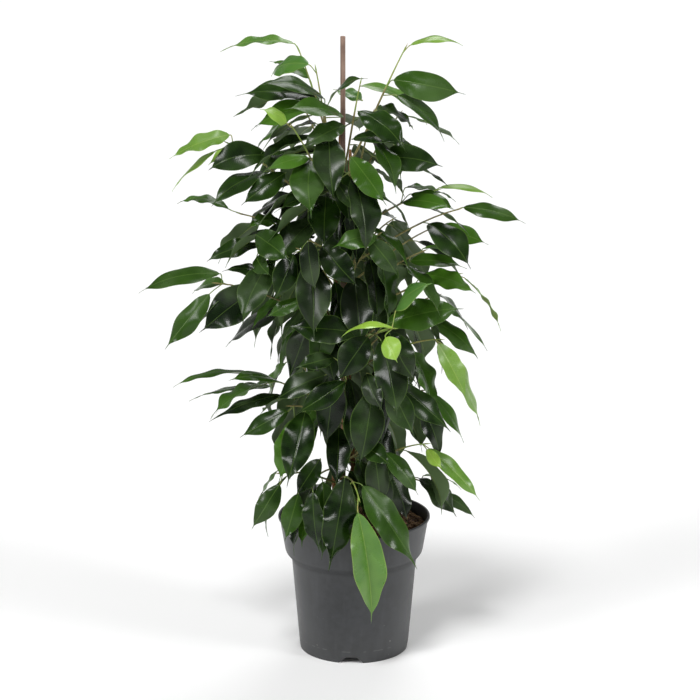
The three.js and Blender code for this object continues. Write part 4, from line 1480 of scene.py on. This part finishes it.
# cutters reach this far past what they cut
CUT_BELOW = 2 * MM
CUT_ABOVE = 5 * MM


def collar_radius(height):
    share = (height - COLLAR_LOW_Z) / (POT_HEIGHT - COLLAR_LOW_Z)
    return COLLAR_LOW_R + (COLLAR_TOP_R - COLLAR_LOW_R) * share


print("pot:", round(2 * RIM_R / MM), "mm wide and", round(POT_HEIGHT / MM), "mm high")

# %% [markdown]
# ## Cutters
#
# The channels and the drain holes are cut out of the turned shell with booleans, which is how
# a part like this is easiest to keep true to its measures. Each cutter is a plain closed
# solid. A channel is the same prism twice: as it is for the outside, and larger by the wall
# for the inside, so the wall keeps its thickness round it.

# %% Channel, drain hole and boolean


def channel_prism(turn, grow):
    """A trapezoid with round shoulders that runs outwards under the floor, larger by grow."""
    low, top = -CUT_BELOW, NOTCH_HEIGHT + grow
    flare = (NOTCH_FOOT - NOTCH_TOP) / 2 / NOTCH_HEIGHT
    wide, narrow = NOTCH_FOOT / 2 - low * flare + grow, NOTCH_TOP / 2 + grow
    section = rounded([(wide, low, 0), (narrow, top, NOTCH_SHOULDER),
                       (-narrow, top, NOTCH_SHOULDER), (-wide, low, 0)])
    near, far = -(CHANNEL_START - grow), -RIM_R
    points = [(x, y, z) for y in (near, far) for x, z in section]
    count = len(section)
    faces = [tuple(range(count - 1, -1, -1)), tuple(range(count, 2 * count))]
    for i in range(count):
        j = (i + 1) % count
        faces.append((i, j, j + count, i + count))
    made = new_object("channel", mesh_from("channel", points, faces=faces))
    made.data.transform(Matrix.Rotation(turn, 4, "Z"))
    return made


def drain_hole(turn):
    top = 3 * NOTCH_HEIGHT
    profile = [(0, -MM), (DRAIN_HOLE_R, -MM), (DRAIN_HOLE_R, top), (0, top)]
    made = turned("hole", profile, DRAIN_HOLE_STEPS)
    outward = Matrix.Translation((0, -DRAIN_HOLE_AT, 0))
    made.data.transform(Matrix.Rotation(turn, 4, "Z") @ outward)
    return made


def cut(target, tools):
    """Cuts each tool out of the target, and removes the tools."""
    for tool in tools:
        modifier = target.modifiers.new("cut", "BOOLEAN")
        modifier.solver = "EXACT"
        modifier.operation = "DIFFERENCE"
        modifier.object = tool
        target.data = plain_result(target)
        bpy.data.objects.remove(tool)
    return target


quarter_turns = [math.radians(FIRST_DRAIN + 90 * i) for i in range(4)]
print("channels at", [round(math.degrees(turn)) for turn in quarter_turns], "degrees")

# %% [markdown]
# ## The shell
#
# The outside is turned as a full solid, closed off a little under the rim, and the inside as
# a cavity that is cut from it. The cavity first loses the room that the raised channels take.
# What is left is one closed shell with a floor, a collar and a lip of the right thickness.

# %% Turn the pot and cut its channels
SOLID_TOP = 180 * MM

under_lip = POT_HEIGHT - LIP_HEIGHT
rim_inside = collar_radius(POT_HEIGHT) - WALL
outside = rounded([
    (0, 0, 0), (BASE_R, 0, 0.8), (BODY_TOP_R, BODY_TOP_Z, 3), (COLLAR_LOW_R, COLLAR_LOW_Z, 5),
    (collar_radius(under_lip), under_lip, LIP_STEP), (RIM_R, under_lip + LIP_STEP * MM, LIP_STEP),
    (RIM_R, POT_HEIGHT, 1.4), (rim_inside, POT_HEIGHT, 1),
    (collar_radius(POT_HEIGHT) - 2 * WALL, SOLID_TOP, 0), (0, SOLID_TOP, 0)])
over_rim = POT_HEIGHT + CUT_ABOVE
inside = rounded([
    (0, POT_FLOOR, 0), (BASE_R - WALL, POT_FLOOR, 2), (BODY_TOP_R - WALL, BODY_TOP_Z, 3),
    (COLLAR_LOW_R - WALL, COLLAR_LOW_Z, 5), (collar_radius(over_rim) - WALL, over_rim, 0),
    (0, over_rim, 0)])
cavity = turned("cavity", inside, POT_STEPS)
cut(cavity, [channel_prism(turn, WALL) for turn in quarter_turns])
pot = turned("pot_shell", outside, POT_STEPS)
cut(pot, [cavity])
cut(pot, [channel_prism(turn, 0) for turn in quarter_turns])
cut(pot, [drain_hole(turn) for turn in quarter_turns])
print("pot:", triangle_count(pot.data), "triangles")

# %% [markdown]
# ## The pot's finish
#
# The plastic is anthracite with a satin surface. It is recycled, so its tone is mottled, and
# it is not clean: dust and pale specks sit near the foot, and a worn line runs round where the
# pot sat in its tray. The crease under the collar is painted darker and rougher, a painted shade
# where the collar hangs over it. A fine orange-peel bump and a slow waviness soften what it
# mirrors.

# %% The pot's plastic
FOOT_LINE_Z = 17 * MM
FOOT_LINE_EDGE = (0.9 * MM, 0.2 * MM)
DUST_TOP = 75 * MM
# the band of painted shade in the crease under the collar
CREASE_SHADE_IN = (BODY_TOP_Z - 5 * MM, BODY_TOP_Z + 2 * MM)
CREASE_SHADE_OUT = (COLLAR_LOW_Z + 4 * MM, COLLAR_LOW_Z - 2 * MM)
PLASTIC_RELIEF = 0.25 * MM


def plastic_finish():
    plastic = Finish("pot_plastic", Specular_IOR_Level=0.62)
    place = plastic.place()
    height = place.parts()[2]
    cloudy = plastic.noise(place, 14.0)
    mottle = plastic.noise(place, 110.0, detail=4.0)
    peel = plastic.noise(place, 900.0, detail=1.0)
    scuffs = plastic.noise(place, 90.0, stretch=(1, 1, 0.12))
    cells = plastic.node("ShaderNodeTexVoronoi", {"Vector": place, "Scale": 120.0})
    dot_size = plastic.field(cells, "Color").parts()[0].step(0.5, 1.0) * 0.12
    dots = (dot_size - plastic.field(cells, "Distance")).step(0.0, 0.02)
    dust = (height.step(DUST_TOP, 0.0) * (cloudy * 0.8 + 0.2)).at_most(1.0)
    # painted shade: the band in the crease under the collar where the colour is darkened
    crease_shade = height.step(*CREASE_SHADE_IN) * height.step(*CREASE_SHADE_OUT)
    foot_line = (height - FOOT_LINE_Z).abs().step(*FOOT_LINE_EDGE) * mottle.step(0.5, 0.6)
    blend = (cloudy * 0.5 + mottle * 0.5).step(0.35, 0.65)
    colour = plastic.mix(blend, linear(33, 35, 37), linear(45, 47, 50))
    # the first mix paints shade into the crease under the collar
    for share, over in ((crease_shade * 0.45, linear(28, 29, 30)),
                        (foot_line * 0.4, linear(110, 110, 108)),
                        (scuffs.step(0.5, 0.8) * 0.12, linear(84, 86, 90)),
                        (dust * 0.2, linear(96, 96, 94)),
                        (dots * dust, linear(184, 182, 174))):
        colour = plastic.mix(share, colour, over)
    roughness = mottle * 0.2 + dust * 0.12 + scuffs * 0.05 + crease_shade * 0.25 + 0.28
    normal = plastic.bump(cloudy * 1.5 + peel * 0.12 + mottle * 0.1, PLASTIC_RELIEF)
    return plastic.give(Base_Color=colour, Roughness=roughness, Normal=normal)


pot_material = plastic_finish()
print("pot finish:", pot_material.name, "with", len(pot_material.node_tree.nodes), "nodes")

# %% [markdown]
# ## Dressing the pot
#
# The booleans leave flat faces. Smooth shading rounds the wall, and edges that turn by more
# than thirty-two degrees stay sharp, so the lip and the notches keep their lines.

# %% Shade the pot and put it in place
POT_SHARP_EDGE = math.radians(32)


def shade_smooth(mesh):
    for face in mesh.polygons:
        face.use_smooth = True


pot.data.materials.clear()
pot.data.materials.append(pot_material)
shade_smooth(pot.data)
pot.data.set_sharp_from_angle(angle=POT_SHARP_EDGE)
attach(pot, "root")
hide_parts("pot")
print("pot: smooth faces", sum(face.use_smooth for face in pot.data.polygons))

# %% [markdown]
# ## The potting mix
#
# The mix is bark, coir and clods, dark brown and rough. A lathe gives the body that fills the
# pot, and its top is broken up by a few crossed waves and rises a little to the middle. The
# foot of the body stays clear of the raised channels.

# %% Lay the soil
SOIL_Z = 176 * MM
SOIL_CROWN = 2.5 * MM
CROWN_R = 95 * MM
SOIL_GAP = WALL + 0.3 * MM
SOIL_EDGE_DROP = 2 * MM
SOIL_EDGE_STEP = 0.5 * MM
SOIL_STEPS = 120
SOIL_RINGS = 44
# the broken top: its height, three sets of waves, and their radians to the metre
BROKEN = 1.1 * MM
BROKEN_SETS = (0.35, 1.0, 2.3)
WAVES_X = 611
WAVES_Y = 547
WAVES_SLANT = 190
PHASES = (3.1, -1.7)


def soil_height(x, y):
    """Height of the broken surface over the point x, y."""
    waves = 0
    for k in BROKEN_SETS:
        across = math.sin(x * k * WAVES_X + PHASES[0] * k)
        waves += across * math.sin(y * k * WAVES_Y + PHASES[1] * k + x * WAVES_SLANT) / k
    crown_share = 1 - min(1.0, math.hypot(x, y) / CROWN_R) ** 2
    return SOIL_Z + SOIL_CROWN * crown_share + BROKEN * waves


def soil_mesh():
    wall = [(BASE_R - SOIL_GAP, POT_FLOOR + NOTCH_HEIGHT), (BODY_TOP_R - SOIL_GAP, BODY_TOP_Z),
            (COLLAR_LOW_R - SOIL_GAP, COLLAR_LOW_Z),
            (collar_radius(SOIL_Z) - SOIL_GAP, SOIL_Z - SOIL_EDGE_DROP)]
    edge = wall[-1][0] - SOIL_EDGE_STEP
    rings = [edge * (1 - step / SOIL_RINGS) for step in range(SOIL_RINGS)]
    points = [(0, 0, wall[0][1])]
    for step in range(SOIL_STEPS):
        c, s = math.cos(math.tau * step / SOIL_STEPS), math.sin(math.tau * step / SOIL_STEPS)
        points += [(r * c, r * s, z) for r, z in wall]
        points += [(r * c, r * s, soil_height(r * c, r * s)) for r in rings]
    points.append((0, 0, soil_height(0, 0)))
    faces = lathe_faces(SOIL_STEPS, len(wall) + len(rings))
    return mesh_from("soil_body", points, faces=faces)


soil = new_object("soil_fill", soil_mesh())
shade_smooth(soil.data)
print("soil:", triangle_count(soil.data), "triangles")

# %% [markdown]
# ## Crumbs on the soil
#
# Loose crumbs of bark and coir lie on the mix. A tree of their own scatters them: points on
# the upper face, a clod on each, turned and sized at random by a seed, and bent out of shape
# by noise once they are real. A crumb that would reach into the pot's wall is pressed flat
# against it.

# %% Scatter the crumbs
LOWEST_CRUMB = SOIL_Z - 6 * MM
CRUMB_GAP = 0.2 * MM
LEAST_CRUMB = (0.35, 0.3, 0.22)
LARGEST_CRUMB = (1.6, 0.95, 0.6)
CRUMB_TILT = 0.5
CRUMB_BREAK = 1.5


def crumb_tree():
    bench = Grower("scatter_crumbs", Crumbs_Per_Square_Metre=("Float", 42000.0),
                   Crumb_Size=("Float", 3.1 * MM), Lowest_Crumb=("Float", LOWEST_CRUMB),
                   Wall_Radius=("Float", collar_radius(LOWEST_CRUMB) - WALL - CRUMB_GAP),
                   Seed=("Int", 5), Crumb_Material=("Material", None))
    given = bench.given
    size = bench.input("Crumb Size")
    x, y, z = bench.field(bench.node("GeometryNodeInputPosition")).parts()
    values = {0: z, 1: given["Lowest Crumb"]}
    upper = bench.made("ShaderNodeMath", values, operation="GREATER_THAN")
    values = {"Geometry": given["Geometry"], "Selection": upper}
    top = bench.made("GeometryNodeSeparateGeometry", values, domain="FACE")
    values = {"Mesh": top, "Density": given["Crumbs Per Square Metre"], "Seed": given["Seed"]}
    spots = bench.made("GeometryNodeDistributePointsOnFaces", values)
    clod = bench.made("GeometryNodeMeshIcoSphere", {"Radius": 1.0, "Subdivisions": 1})

    def random_vector(low, high, seed):
        values = {"Min": low, "Max": high, "Seed": seed}
        return Field(bench.tree, bench.made("FunctionNodeRandomValue", values,
                                            data_type="FLOAT_VECTOR"))

    stretch = random_vector(LEAST_CRUMB, LARGEST_CRUMB, 3) * size
    turn = random_vector((-CRUMB_TILT, -CRUMB_TILT, 0.0), (CRUMB_TILT, CRUMB_TILT, math.tau), 4)
    values = {"Points": spots, "Instance": clod, "Rotation": turn, "Scale": stretch}
    crumbs = bench.made("GeometryNodeInstanceOnPoints", values)
    crumbs = bench.made("GeometryNodeRealizeInstances", {"Geometry": crumbs})
    noise = bench.node("ShaderNodeTexNoise", {"Scale": 520.0, "Detail": 1.0})
    shift = bench.field(noise, "Color").work("SUBTRACT", (0.5, 0.5, 0.5)) * (size * CRUMB_BREAK)
    crumbs = bench.made("GeometryNodeSetPosition", {"Geometry": crumbs, "Offset": shift})
    pull = ((x * x + y * y) ** -0.5 * bench.input("Wall Radius")).at_most(1.0)
    held = bench.vector(x * pull, y * pull, z)
    crumbs = bench.made("GeometryNodeSetPosition", {"Geometry": crumbs, "Position": held})
    return bench.finished(crumbs, Crumb_Material=True)


scatter_crumbs = crumb_tree()
print("tree with", len(scatter_crumbs.nodes), "nodes")

# %% [markdown]
# ## The soil's finish
#
# The body and the crumbs share one kind of finish, a rough brown whose noises stand for clods
# and chips. The crumbs are lighter, because they are dry and catch the light. Both pieces
# take the place of the part's soil.

# %% Dress the soil
SOIL_RELIEF = 1.1 * MM


def soil_finish(name, dark, light, pale):
    finish = Finish(name, Specular_IOR_Level=0.2)
    place = finish.place()
    clods = finish.noise(place, 210.0, detail=4.0)
    patches = finish.noise(place, 70.0)
    chips = finish.noise(place, 640.0, detail=2.0)
    colour = finish.mix((patches * 0.5 + clods * 0.5).step(0.38, 0.66), dark, light)
    colour = finish.mix(chips.step(0.6, 0.7) * 0.5, colour, pale)
    normal = finish.bump(clods * 2.0 + chips, SOIL_RELIEF)
    return finish.give(Base_Color=colour, Roughness=chips * 0.15 + 0.8, Normal=normal)


soil_material = soil_finish("potting_mix", dark=linear(56, 42, 32), light=linear(108, 84, 64),
                            pale=linear(152, 124, 96))
crumb_material = soil_finish("mix_crumbs", dark=linear(98, 74, 56),
                             light=linear(164, 132, 102), pale=linear(202, 176, 144))
soil.data.materials.append(soil_material)
crumbs = grown("soil_crumbs", soil.data.copy(), scatter_crumbs, Crumb_Material=crumb_material)
for piece in (soil, crumbs):
    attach(piece, "root")
    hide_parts("soil")
print("crumbs:", triangle_count(crumbs.data), "triangles")

# %% [markdown]
# The finer pieces must stay inside the box of the part.
